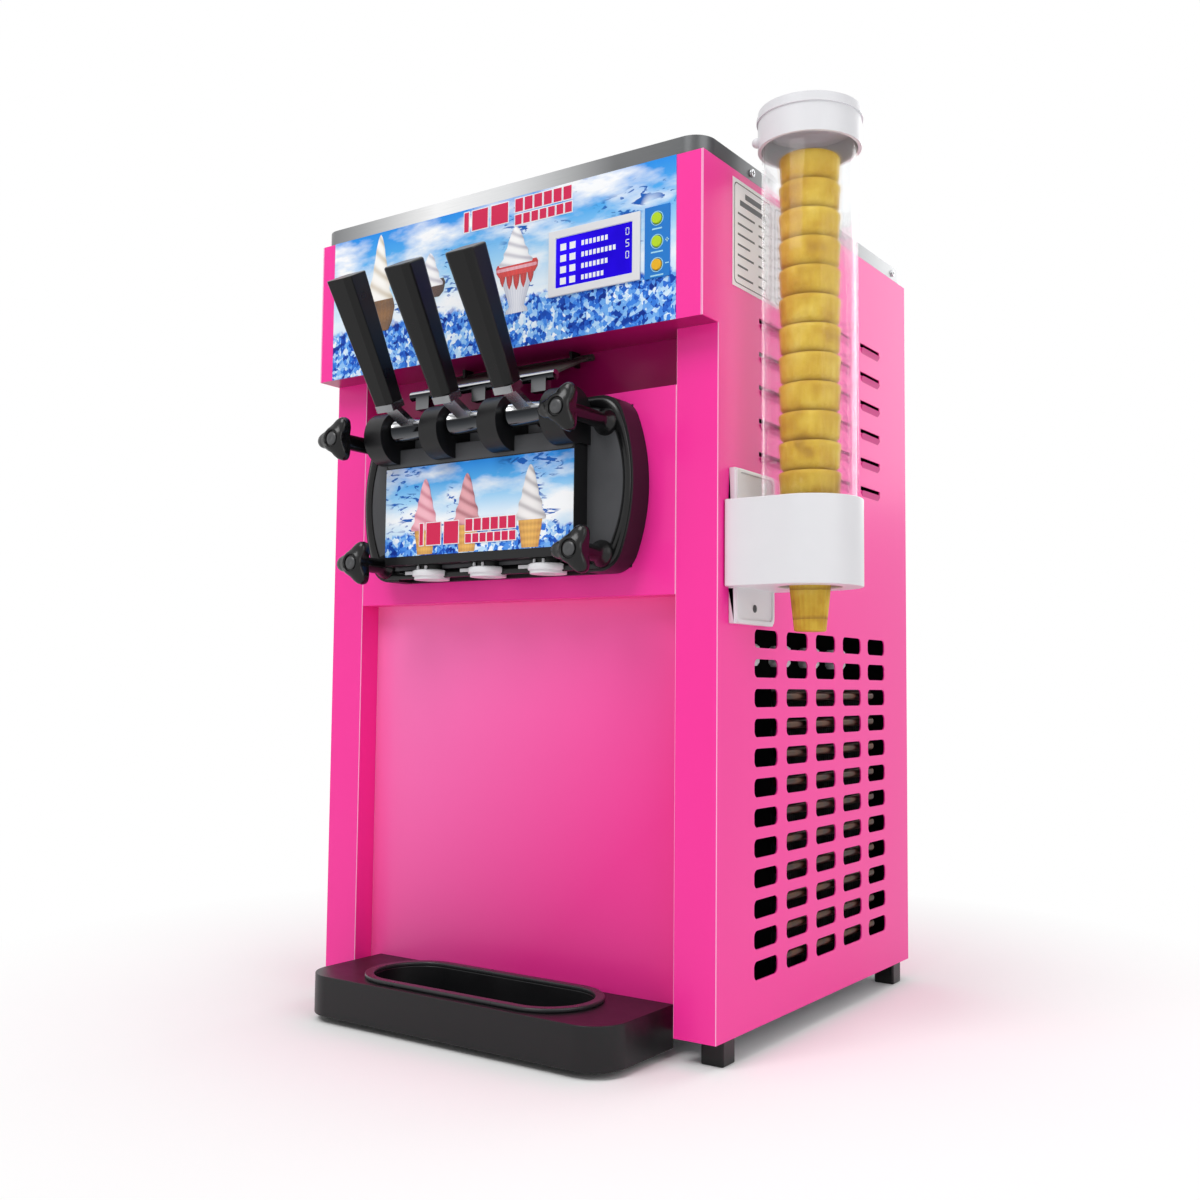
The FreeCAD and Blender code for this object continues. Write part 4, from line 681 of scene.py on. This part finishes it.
def screw_shade_cross(axis):
    """Black cross of painted shade where the cross recess in a screw head lies."""
    bm = bmesh.new()
    for long, short in ((1.9, 0.4), (0.4, 1.9)):
        low, high = [-1.0, -long, -short], [1.98, long, short]
        if axis == "y":
            low, high = [-long, -1.0, -short], [long, 1.98, short]
        add_box(bm, low, high)
    return bm


# Chrome screw heads with black crosses of painted shade in their recesses
for side, sign in (("right", 1), ("left", -1)):
    for what, shape, finish in (("screws", screw_head, CHROME), ("screw_crosses", screw_shade_cross, RECESS_BLACK_SHADE)):
        bm = shape("x")
        if sign < 0:
            bmesh.ops.scale(bm, vec=(-1, 1, 1), verts=bm.verts)
        repeated("cap_%s_%s" % (what, side), bm, "cabinet", finish, 2, 1, (0, 306.3, 0), (0, 0, 1),
                 (sign * HALF_WIDTH, -141.8, 715.25))
for what, shape, finish in (("screws", screw_head, CHROME), ("screw_crosses", screw_shade_cross, RECESS_BLACK_SHADE)):
    repeated("back_%s" % what, shape("y"), "cabinet", finish, 2, 3, (396, 0, 0), (0, 0, 321.75),
             (-198, BACK_Y, 45.0))
softened("fasteners", CHROME, 0.3)

# Rating label: white plate, two ruled panels and rows of grey bars in place of words
bm = bmesh.new()
add_box(bm, (HALF_WIDTH, -174.5, 613), (HALF_WIDTH + 0.4, -31.5, 702))
piece("rating_label", bm, "cabinet", [WHITE_INK])
bm = bmesh.new()
for y in (-139.5, -68.0):
    frames = []
    for half_y, half_z, proud in ((32.5, 41.5, 0.3), (32.5, 41.5, 0.55), (31.8, 40.8, 0.55), (31.8, 40.8, 0.3)):
        ring = rounded_rectangle(y, 657.5, half_y, half_z, 4, HALF_WIDTH + proud)
        frames.append([(b, a, c) for a, b, c in ring])
    add_rings(bm, frames, joined=True)
    add_box(bm, (HALF_WIDTH + 0.3, y - 14, 689), (HALF_WIDTH + 0.55, y + 14, 693.5))
    add_box(bm, (HALF_WIDTH + 0.3, y - 23, 681.5), (HALF_WIDTH + 0.55, y + 23, 686))
piece("rating_label_rules", bm, "cabinet", [GREY_INK])
bm = bmesh.new()
add_box(bm, (0, 0, 0), (0.5, 30, 1.6))
repeated("rating_label_rows", bm, "cabinet", GREY_INK, 2, 7, (0, 71.5, 0), (0, 0, -8.6),
         (HALF_WIDTH + 0.1, -166, 673.5), (1, 0.55, 1), 4)
bm = bmesh.new()
add_box(bm, (0, 0, 0), (0.5, 16, 1.6))
repeated("rating_label_values", bm, "cabinet", GREY_INK, 2, 7, (0, 71.5, 0), (0, 0, -8.6),
         (HALF_WIDTH + 0.1, -130, 673.5), (1, 0.45, 1), 9)


# ---------------------------------------------------------------- header: film, pictures, display, buttons
keep("header_graphic", HEADER_PRINT)
softened("display_bezel", WHITE_ABS, 0.8, 3)
keep("lcd_screen", SCREEN_BLUE)
softened("button_plate", PLATE_BLUE, 0.3)
softened("button_upper", BUTTON_GREEN, 0.6, 3)
softened("button_middle", BUTTON_GREEN, 0.6, 3)
softened("button_lower", BUTTON_AMBER, 0.6, 3)


def between(a, b, share):
    """Colour at a share of the way from a to b."""
    share = max(0.0, min(1.0, share))
    return tuple(p + (q - p) * share for p, q in zip(a, b))


def add_picture(bm, x, y, rows, paint, columns=22, fine=44):
    """Adds a flat picture 0.3 mm thick: rows are (height, half width) in mm, paint(u, v) gives linear colours.

    u runs -1 to 1 across and v runs 0 to 1 up the picture.
    """
    ink = bm.verts.layers.float_color.get("ink") or bm.verts.layers.float_color.new("ink")
    low, high = rows[0][0], rows[-1][0]
    sides = []
    for depth in (y - 0.3, y + 0.2):
        grid = []
        for step in range(fine + 1):
            z = low + (high - low) * step / fine
            index = max(i for i in range(len(rows) - 1) if rows[i][0] <= z + 1e-6)
            (z0, w0), (z1, w1) = rows[index], rows[index + 1]
            width = w0 + (w1 - w0) * (z - z0) / (z1 - z0)
            line = []
            for column in range(columns + 1):
                u = -1 + 2 * column / columns
                corner = bm.verts.new(((x + u * width) * MM, depth * MM, z * MM))
                corner[ink] = tuple(paint(u, step / fine)) + (1.0,)
                line.append(corner)
            grid.append(line)
        sides.append(grid)
    front, back = sides
    for step in range(fine):
        for column in range(columns):
            bm.faces.new((front[step][column], front[step][column + 1], front[step + 1][column + 1],
                          front[step + 1][column]))
            bm.faces.new((back[step][column], back[step + 1][column], back[step + 1][column + 1],
                          back[step][column + 1]))
        for column, turn in ((0, 1), (columns, -1)):
            quad = (front[step][column], front[step + 1][column], back[step + 1][column], back[step][column])
            bm.faces.new(quad[::turn])
    for step, turn in ((0, 1), (fine, -1)):
        for column in range(columns):
            quad = (front[step][column], back[step][column], back[step][column + 1], front[step][column + 1])
            bm.faces.new(quad[::turn])


def swirl_rows(low, high, width, rolls=5, bulge=0.09):
    """Outline of piped soft ice: rolls that shrink towards a drawn-out tip."""
    rows = []
    for step in range(45):
        v = step / 44
        body = (1 - v) ** 0.62 * (0.92 + 0.08 * math.cos(v * 5))
        wave = 1 + bulge * math.sin(v * rolls * 2 * math.pi) * (1 - v)
        rows.append((low + (high - low) * v, max(0.25, width * body * wave)))
    return rows


def swirl_paint(light, dark, rolls=5.0, lean=0.55):
    """Soft ice: diagonal rolls, bright on the left and shaded in the creases and on the right."""
    light, dark = linear(light)[:3], linear(dark)[:3]

    def paint(u, v):
        crease = 0.5 + 0.5 * math.sin((v * rolls + u * lean * (1 - v * 0.5)) * 2 * math.pi)
        sides = 0.32 * max(0.0, u) ** 2 + 0.10 * max(0.0, -u) ** 3
        return between(light, dark, 0.75 * (1 - crease) ** 2.2 + sides)
    return paint


def cone_paint(light, dark, bands=4.0):
    """Wafer cup: ribbed bands, darker at both sides and under the rim."""
    light, dark = linear(light)[:3], linear(dark)[:3]

    def paint(u, v):
        rib = 0.5 + 0.5 * math.sin(v * bands * 2 * math.pi)
        grid = 0.5 + 0.5 * math.sin(u * 3.0 * 2 * math.pi)
        return between(light, dark, 0.35 * rib + 0.2 * grid + 0.4 * u * u)
    return paint


def flat_paint(light, dark):
    """Glass, dish or syrup: soft upright streaks, darker at both sides."""
    light, dark = linear(light)[:3], linear(dark)[:3]
    return lambda u, v: between(light, dark, 0.25 + 0.45 * u * u + 0.3 * math.sin(u * 14) ** 2)


bm = bmesh.new()
# Tall white swirl over a chocolate-dipped cone, at the left
add_picture(bm, -133, FILM_Y, swirl_rows(641, 706, 15.5, 4.0), swirl_paint("#FFFDF8", "#CDBFA8", 4.0))
add_picture(bm, -128.5, FILM_Y - 0.25, [(615, 7), (622, 11), (636, 14.5), (644, 12)],
            cone_paint("#8A5A1E", "#3A1C08", 1.5))
# White swirl with brown syrup over an ice bowl, in the middle
add_picture(bm, -70, FILM_Y - 0.1, [(636, 10), (640, 15), (648, 17), (652, 15)],
            flat_paint("#5A2C14", "#1E0C06"))
add_picture(bm, -71, FILM_Y - 0.25, swirl_rows(646, 677, 15, 3.0), swirl_paint("#FFFFFF", "#B9B6C4", 3.0))
# Glass sundae: foot and cup, red syrup with drips, white swirl
add_picture(bm, 28, FILM_Y, [(607, 12), (610, 11.5), (613, 8), (618, 9.5), (632, 14.5), (646, 19)],
            flat_paint("#FBFBFF", "#A9B0C6"))
for index, drop in enumerate((632, 628.5, 627, 628, 631)):
    centre = 12.5 + index * 7.6
    add_picture(bm, centre, FILM_Y - 0.15, [(drop, 0.3), (drop + 5, 2.6), (drop + 16, 4.2)],
                flat_paint("#E3221C", "#8C0A0A"), 6, 8)
add_picture(bm, 28, FILM_Y - 0.25, [(640, 19), (644, 22), (648.5, 22.5), (651, 21)],
            flat_paint("#F0302A", "#B81212"))
add_picture(bm, 28, FILM_Y - 0.4, [(644.6, 21), (646, 22.2), (647.4, 21)],
            flat_paint("#F6C9D2", "#D77C8C"), 22, 4)
add_picture(bm, 27, FILM_Y - 0.5, swirl_rows(649, 682, 17.5, 3.5), swirl_paint("#FFFFFF", "#B4B2C0", 3.5))
piece("header_pictures", bm, "cabinet", [PICTURE])


def add_bars(bm, y, spans, depth=0.3, finish=0):
    """Adds flat bars to the front of a face from (left, bottom, right, top) spans in mm."""
    for left, low, right, top in spans:
        add_box(bm, (left, y - depth, low), (right, y + 0.2, top), finish)


def word_blocks(name, body, y, edge, spans):
    """Generic red blocks with a white edge, where the film and the decal carry words."""
    bm = bmesh.new()
    add_bars(bm, y, [(a - edge, b - edge, c + edge, d + edge) for a, b, c, d in spans])
    add_bars(bm, y, spans, 0.45, 1)
    piece(name, bm, body, [WHITE_INK, RED_INK])


word_blocks("header_word_blocks", "cabinet", FILM_Y, 0.8, [
    (-31.6, 688, -26.5, 705.5), (-22.5, 688, -5.0, 705.5), (-1.0, 688, 17.5, 705.5)]
    + [(25.5 + 10.2 * i, 694.8, 33.7 + 10.2 * i, 706) for i in range(6)]
    + [(25.5 + 8.8 * i, 683.5, 32.4 + 8.8 * i, 692) for i in range(7)])

# Display: rows of small blocks and bars, and three counters that read 0, 5 and 0
SEGMENTS = {"a": (0, 5.4, 3.4, 6), "d": (0, 0, 3.4, 0.6), "g": (0, 2.7, 3.4, 3.3), "f": (0, 2.7, 0.6, 6),
            "e": (0, 0, 0.6, 3.3), "b": (2.8, 2.7, 3.4, 6), "c": (2.8, 0, 3.4, 3.3)}
DIGIT_X, DIGIT_Z, LINE_PITCH, LETTER_PITCH = 139.5, 652.3, 9.6, 3.9
spans = []
for line, digit in enumerate(("abcdef", "acdfg", "abcdef")):
    low = DIGIT_Z - line * LINE_PITCH
    spans += [(DIGIT_X + x0, low + z0, DIGIT_X + x1, low + z1)
              for x0, z0, x1, z1 in (SEGMENTS[segment] for segment in digit)]
for line, length in enumerate((7, 9, 7, 6)):
    low = DIGIT_Z - line * LINE_PITCH
    spans += [(left, low - 0.8, left + 6, low + 4.9) for left in (74.5, 84)]
    spans += [(96 + LETTER_PITCH * i, low, 98.6 + LETTER_PITCH * i, low + 4.1) for i in range(length)]
bm = bmesh.new()
screen_y = min(c.co.y for c in cad["lcd_screen"].data.vertices) / MM
add_bars(bm, screen_y, spans, 0.15)
piece("display_marks", bm, "cabinet", [WHITE_INK])

# Button plate: a plus, a minus and a pale bar under each button, and a ring round it
plate_y = min(c.co.y for c in cad["button_plate"].data.vertices) / MM
bm = bmesh.new()
add_bars(bm, plate_y, [
    (177.0, 640.9, 180.4, 641.9), (178.2, 639.7, 179.2, 643.1), (177.0, 622.3, 180.4, 623.2),
    (164.8, 651.2, 173.8, 652.4), (163.8, 632.5, 174.8, 633.7), (163.3, 613.6, 175.3, 614.8)], 0.15)
for z in (660.1, 641.4, 622.7):
    add_turned(bm, (169.3, plate_y, z), "y", [(5.9, 0.2), (5.9, -0.25), (5.2, -0.25), (5.2, 0.2)], 32, 0, True)
piece("button_plate_marks", bm, "cabinet", [PALE_INK])

# ---------------------------------------------------------------- dispensing head
softened("dispensing_head", BLACK_SATIN, 2.0, 4)
softened("pivot_shaft", SHAFT_CHROME, 0.5)
keep("head_graphic", DECAL_PRINT)


def flange_ring(inset, y, steps=10):
    """Ring of points that follows the flange's outline, drawn in by inset mm.

    The sides are slack arcs that run into round corners with no break.
    """
    half = 71.5 - inset
    corner, wide, swell = 14.0, 136.0 - inset, 147.0 - inset
    join = half - corner
    lean = 2 * math.atan((swell - wide) / join)
    radius = corner / (1 - math.sin(lean))
    shoulder = wide - radius * math.cos(lean)
    bow = (join * join + (swell - wide) ** 2) / (2 * (swell - wide))
    quarter = []
    for step in range(steps + 1):
        sweep = (math.pi / 2 - lean) * step / steps
        quarter.append((shoulder + radius * math.sin(sweep), half - radius * (1 - math.cos(sweep))))
    for step in range(1, steps + 1):
        z = join * (1 - step / steps)
        quarter.append((swell - bow + math.sqrt(bow * bow - z * z), z))
    right = quarter + [(x, -z) for x, z in quarter[-2::-1]]
    outline = right + [(-x, -z) for x, z in right]
    return [(x, y, HEAD_Z + z) for x, z in outline]


# Rim bead, open between the outer collars, where the levers' fingers swing
RIM_END = 94.0
outlines = []
for inset, depth in ((1.6, 1.0), (1.6, -0.4), (2.4, -1.5), (4.2, -2.0), (6.6, -1.8), (8.4, -0.8), (8.8, 1.0)):
    outline = flange_ring(inset, FLANGE_Y + depth)
    top = outline[0][1:]
    outlines.append([(RIM_END, *top)] + outline + [(-RIM_END, *top)])
bm = bmesh.new()
add_rings(bm, list(zip(*outlines)))
piece("head_flange_rim", bm, "head", [BLACK_GLOSS], angle=50)
bm = bmesh.new()
add_rings(bm, [flange_ring(inset, FLANGE_Y + depth) for inset, depth in (
    (9.6, 0.5), (9.6, -0.25), (10.6, -0.45))])
piece("head_flange_face", bm, "head", [GRAINED_GREY], angle=50)

# Grained face of the block above the decal
bm = bmesh.new()
add_rings(bm, [rounded_rectangle(0, 489.2, hx, hz, 3.0, BLOCK_Y + d) for hx, hz, d in (
    (101.6, 7.6, 0.8), (101.6, 7.6, -0.3), (100.8, 6.8, -0.6))])
piece("head_block_face", bm, "head", [GRAINED_GREY], angle=50)

# Decal: three piped cones, and generic blocks where words would be
bm = bmesh.new()
for x, low, tip, light, dark in (
        (-55.4, 424, 469, "#F8B9C6", "#C8687E"), (-8.2, 426, 470, "#E9A6AE", "#9C4A58"),
        (59.5, 426, 471.5, "#F4F1F0", "#A5A0A4")):
    add_picture(bm, x, DECAL_Y, [(403.2, 8.6), (414, 10.2), (420, 11.6), (427, 12.2)],
                cone_paint("#F0B950", "#B06C14"))
    add_picture(bm, x, DECAL_Y - 0.25, swirl_rows(low, tip, 15.2, 4.0), swirl_paint(light, dark, 4.0))
piece("head_pictures", bm, "head", [PICTURE])
word_blocks("head_word_blocks", "head", DECAL_Y - 0.5, 0.7, [
    (-61, 411, -57, 430), (-53, 411, -37, 430), (-33, 411, -17, 430)]
    + [(-9 + 9.2 * i, 420.5, -1.4 + 9.2 * i, 430.5) for i in range(6)]
    + [(-9 + 7.9 * i, 410.5, -2.6 + 7.9 * i, 418) for i in range(7)])


# ---------------------------------------------------------------- knobs, levers, nozzle caps, flap
KNOB_WAIST = 11.2


def lobes(reach):
    """Radius of a three-lobed knob at each turn, with hollow flanks between rounded lobes."""
    def radius(turn):
        swing = 0.5 + 0.5 * math.cos(3 * (turn - math.radians(60)))
        return KNOB_WAIST + (reach - KNOB_WAIST) * swing ** 1.7
    return radius


for name, (x, z, face) in KNOBS.items():
    bm = bmesh.new()
    centre = (x, face, z)
    # Lobed body with a raised lip round its cap, the sleeve behind it, and the cap
    add_turned(bm, centre, "y", [
        (6.9, 13.5), (9.5, 13.3), (lobes(18.6), 12.6), (lobes(20.6), 11.2), (lobes(21.2), 8.6),
        (lobes(20.8), 5.4), (lobes(19.2), 3.6), (lobes(15.5), 2.4), (10.6, 1.6), (9.3, 0.2), (8.2, -0.1),
        (7.4, 0.5), (7.0, 1.8), (5.9, 1.9)], 96)
    foot = FLANGE_Y - 0.4 - face
    add_turned(bm, centre, "y", [
        (6.8, 12.5), (6.8, foot - 12), (7.6, foot - 8), (10.2, foot - 4), (11.2, foot - 1.6),
        (11.2, foot)], 40)
    add_turned(bm, centre, "y", [(5.6, 2.4), (5.6, 0.9), (4.9, 0.3), (2.0, 0.1), (1.2, 0.5)], 36, 1)
    piece("knob_%s_finished" % name, bm, "knob_" + name, [BLACK_GLOSS, CAP_GREY],
          ["knob_" + name], angle=48)

for side, x in LEVERS.items():
    softened("lever_" + side, LEVER_STEEL, 0.9, 3)
    softened("grip_" + side, BLACK_GRIP, 2.2, 4)
    softened("plunger_" + side, WHITE_ABS, 0.4)
    # Rounded chrome sleeve over the lever's boss, with a raised bead at each end
    bm = bmesh.new()
    add_turned(bm, (x, *PIVOT), "x", [
        (9.55, -19.9), (9.9, -19.6), (9.9, -18.2), (9.65, -17.8), (9.65, 17.8), (9.9, 18.2), (9.9, 19.6),
        (9.55, 19.9), (9.3, 19.9), (9.3, -19.9)], 48, 0, True)
    piece("lever_%s_sleeve" % side, bm, "lever_" + side, [SHAFT_CHROME], angle=50)
    # Nozzle cap with a ribbed rim, and two pegs standing on it
    softened("nozzle_cap_" + side, WHITE_ABS, 0.7, 3)
    bm = bmesh.new()
    for along in (-4.6, 4.6):
        add_turned(bm, (x + along, NOZZLE_Y - 13.2, 0), "z", [(1.3, 389.5), (1.3, 393.6), (0.9, 394.3)], 20)
    add_turned(bm, (x, NOZZLE_Y, 0), "z", [
        (15.2, 385.2), (16.9, 385.6), (17.3, 387.0), (17.3, 389.0), (16.9, 390.2), (15.2, 390.4)],
        56, 0, True)
    piece("nozzle_cap_%s_rim" % side, bm, "nozzle_cap_" + side, [WHITE_ABS], angle=50)

softened("switch_flap", FLAP_GREY, 0.5)
softened("switch_bar", BAR_CHROME, 0.4)

# ---------------------------------------------------------------- drip tray
softened("drip_tray", BLACK_SATIN, 1.8, 4)
softened("drip_ring", TRAY_RING, 1.3, 4)

# ---------------------------------------------------------------- cone dispenser
softened("cone_holder", WHITE_ABS, 1.0, 3)
softened("cone_cap", WHITE_ABS, 0.9, 3)
bm = bmesh.new()
add_turned(bm, (TUBE_X, TUBE_Y, 0), "z", [
    (36.5, 398.6), (36.7, 398.3), (37.8, 398.3), (38.0, 398.6), (38.0, 737.6), (37.7, 738.0), (36.8, 738.0),
    (36.5, 737.6)], 128, 0, True)
piece("cone_tube_finished", bm, "cabinet", [ACRYLIC], ["cone_tube"], angle=50)

# Raised border of the bracket, and its slotted screw, whose slot is a black bar of painted shade
BRACKET_X, BRACKET_Z = HALF_WIDTH + 6, 402.7
bm = bmesh.new()
frames = []
for half_y, half_z, proud in ((32.4, 61.2, -0.5), (32.4, 61.2, 1.1), (31.6, 60.4, 1.6), (29.6, 58.4, 1.6),
                              (29.0, 57.8, -0.5)):
    ring = rounded_rectangle(TUBE_Y, BRACKET_Z, half_y, half_z, 5, BRACKET_X + proud)
    frames.append([(b, a, c) for a, b, c in ring])
add_rings(bm, frames, joined=True)
piece("bracket_border", bm, "cabinet", [WHITE_ABS], angle=50)
bm = bmesh.new()
add_turned(bm, (BRACKET_X, TUBE_Y, 354), "x", [(3.2, -0.5), (3.2, 0.4), (2.4, 0.9)], 28)
# The slot is a black bar of painted shade
add_box(bm, (BRACKET_X, TUBE_Y - 0.5, 352), (BRACKET_X + 1.1, TUBE_Y + 0.5, 356), 1)
piece("bracket_screw", bm, "cabinet", [CAP_GREY, RECESS_BLACK_SHADE], angle=50)


def ribbed(radius, depth):
    """Radius with shallow upright ribs pressed into it."""
    return lambda turn: radius + depth * math.cos(22 * turn)


def wafer_cone():
    """Flat-bottomed wafer cup at the bottom of the stack: ribbed foot, beaded rim and a thin wall."""
    bm = bmesh.new()
    add_turned(bm, (TUBE_X, TUBE_Y, CONE_BASE), "z", [
        (11.6, 0), (ribbed(12.5, 0.1), 0.8), (ribbed(14.6, 0.3), 22), (ribbed(16.2, 0.3), 38),
        (ribbed(17.9, 0.25), 51.5), (18.4, 53.5), (21.6, 58.2), (ribbed(23.0, 0.12), 60.2),
        (ribbed(23.4, 0.15), 66), (ribbed(23.7, 0.12), 72), (24.2, 74.2), (24.2, 77.2), (23.7, CONE_HEIGHT),
        (22.2, CONE_HEIGHT), (21.8, 60), (16.0, 52.5), (10.4, 2.2)], 132)
    return bm


repeated("cone_stack_finished", wafer_cone(), "cabinet", WAFER, 1, 13, (0, 0, 1),
         (0, 0, CONE_PITCH), (0, 0, CONE_PITCH), stands_for=["cone_stack"])
piece("bottom_cone_finished", wafer_cone(), "bottom_cone", [WAFER], ["bottom_cone"], angle=40)

# ---------------------------------------------------------------- top: hoppers and lids
for name in ("hoppers", "hopper_lid_left", "hopper_lid_right"):
    softened(name, HOPPER_STEEL, 0.5)
for name in ("air_tube_left", "air_tube_right"):
    softened(name, WHITE_ABS, 0.5)

# ---------------------------------------------------------------- inside the cabinet
for name in ("base_pan", "inner_frame"):
    keep(name, ZINC)
for name in ("freezing_cylinders", "beater_left", "beater_right"):
    softened(name, BARREL_STEEL, 0.4)
softened("drive_motor", BLACK_SHELL_AND_PAINTED_SHADE, 1.2)
softened("compressor", BLACK_SHELL_AND_PAINTED_SHADE, 0.8)
keep("condenser", BLACK_SHELL_AND_PAINTED_SHADE)
softened("fan", BLACK_SATIN, 0.6)
softened("power_inlet", BLACK_SATIN, 0.5)
keep("insulation", FOAM)

# Fins of the condenser, and the coil's tubes that show behind the grille, both darkened as painted shade for
# the dim inside of the cabinet
bm = bmesh.new()
add_box(bm, (0, -0.25, 0), (3.0, 0.25, 262))
repeated("condenser_fins", bm, "cabinet", FINS_IN_PAINTED_SHADE, 48, 1, (0, 4.1, 0), (0, 0, 1), (196.4, -76.4, 25.5))
bm = bmesh.new()
add_turned(bm, (0, 0, 0), "y", [(4.6, -98), (4.6, 98)], 20)
repeated("condenser_coil", bm, "cabinet", COIL_IN_PAINTED_SHADE, 1, 11, (0, 1, 0), (0, 0, 24.2), (202.2, 20, 42.0))
bm = bmesh.new()
add_turned(bm, (0, 0, 0), "z", [(7.5, 0), (9.5, 3), (9.5, 16), (7.0, 18)], 28)
repeated("pipe_sleeves", bm, "cabinet", WHITE_ABS, 4, 1, (0, 58, 0), (0, 0, 1),
         (193, FRONT_Y + 107.2, 309))

# ---------------------------------------------------------------- floor, backdrop, light and camera
def seen_rays(tree):
    """1 for the rays that show the backdrop: straight from the camera, mirrored or through the tube."""
    rays = add(tree, "ShaderNodeLightPath").outputs
    seen = add(tree, "ShaderNodeMath", {0: rays["Is Camera Ray"], 1: rays["Is Glossy Ray"]},
               operation="MAXIMUM")
    return add(tree, "ShaderNodeMath", {0: seen, 1: rays["Is Transmission Ray"]}, operation="MAXIMUM")


def studio_white():
    """White paper: takes the object's soft shadow nearby and runs out to plain white further off."""
    made, tree, shader, place = start_material("studio_paper", "#FFFFFF", 0.95, Specular_IOR_Level=0.0)
    mottle = add(tree, "ShaderNodeTexNoise", {"Vector": place, "Scale": 2.0})
    tone = add(tree, "ShaderNodeValToRGB", {"Fac": mottle}, stops=[(0.0, "#FCFCFC"), (1.0, "#FFFFFF")])
    tree.links.new(tone.outputs[0], shader.inputs["Base Color"])
    far = add(tree, "ShaderNodeVectorMath", {0: place}, operation="LENGTH")
    share = add(tree, "ShaderNodeMapRange", {"Value": far.outputs["Value"], "From Min": 0.3, "From Max": 0.72})
    both = add(tree, "ShaderNodeMath", {0: share, 1: seen_rays(tree)}, operation="MULTIPLY")
    glow = add(tree, "ShaderNodeEmission", {"Color": linear("#FFFFFF"), "Strength": 1.0})
    mixed = add(tree, "ShaderNodeMixShader", {0: both, 1: shader, 2: glow})
    tree.links.new(mixed.outputs[0], tree.nodes["Material Output"].inputs["Surface"])
    return made


FLOOR_REACH = 30.0
mesh = bpy.data.meshes.new("floor")
corners = [(x * FLOOR_REACH, y * FLOOR_REACH, 0) for x, y in ((-1, -1), (1, -1), (1, 1), (-1, 1))]
mesh.from_pydata(corners, [], [(0, 1, 2, 3)])
mesh.materials.append(studio_white())
floor = bpy.data.objects.new("floor", mesh)
bpy.context.scene.collection.objects.link(floor)


def lamp(name, place, target, size, power):
    """Adds a softbox of that size in metres and power in watts, turned to its target."""
    data = bpy.data.lights.new(name, "AREA")
    data.shape = "RECTANGLE"
    data.size, data.size_y = size
    data.energy = power
    obj = bpy.data.objects.new(name, data)
    bpy.context.scene.collection.objects.link(obj)
    obj.location = place
    obj.rotation_euler = (Vector(target) - Vector(place)).to_track_quat("-Z", "Y").to_euler()


AIM = (0, 0, 0.4)
lamp("key_softbox", (-0.2, -2.3, 2.9), AIM, (1.5, 1.5), 46)
lamp("fill_softbox", (2.6, -0.9, 1.5), AIM, (1.8, 1.8), 15)
lamp("top_softbox", (0.2, 0.2, 2.8), AIM, (2.0, 2.0), 16)
lamp("back_softbox", (0.5, 2.6, 1.6), AIM, (2.0, 1.6), 18)

world = bpy.data.worlds.new("studio")
bpy.context.scene.world = world
world.use_nodes = True
sky = world.node_tree
background = sky.nodes["Background"]
strength = add(sky, "ShaderNodeMapRange", {"Value": seen_rays(sky), "To Min": 0.46, "To Max": 1.0})
sky.links.new(strength.outputs["Result"], background.inputs["Strength"])
background.inputs["Color"].default_value = linear("#FFFFFF")

camera_data = bpy.data.cameras.new("view_from_right_front")
camera = bpy.data.objects.new("view_from_right_front", camera_data)
bpy.context.scene.collection.objects.link(camera)
camera_data.lens = 38.4
camera_data.sensor_width = 36.0
forward = Vector((-0.56596, 0.82169, 0.06721)).normalized()
right = Vector((0.8236, 0.5672, 0.00976))
right = (right - forward * right.dot(forward)).normalized()
up = right.cross(forward)
camera.matrix_world = Matrix([
    [right.x, up.x, -forward.x, 0.6953],
    [right.y, up.y, -forward.y, -1.0614],
    [right.z, up.z, -forward.z, 0.2908],
    [0, 0, 0, 1]])
bpy.context.scene.camera = camera
bpy.context.scene.view_settings.view_transform = "Standard"
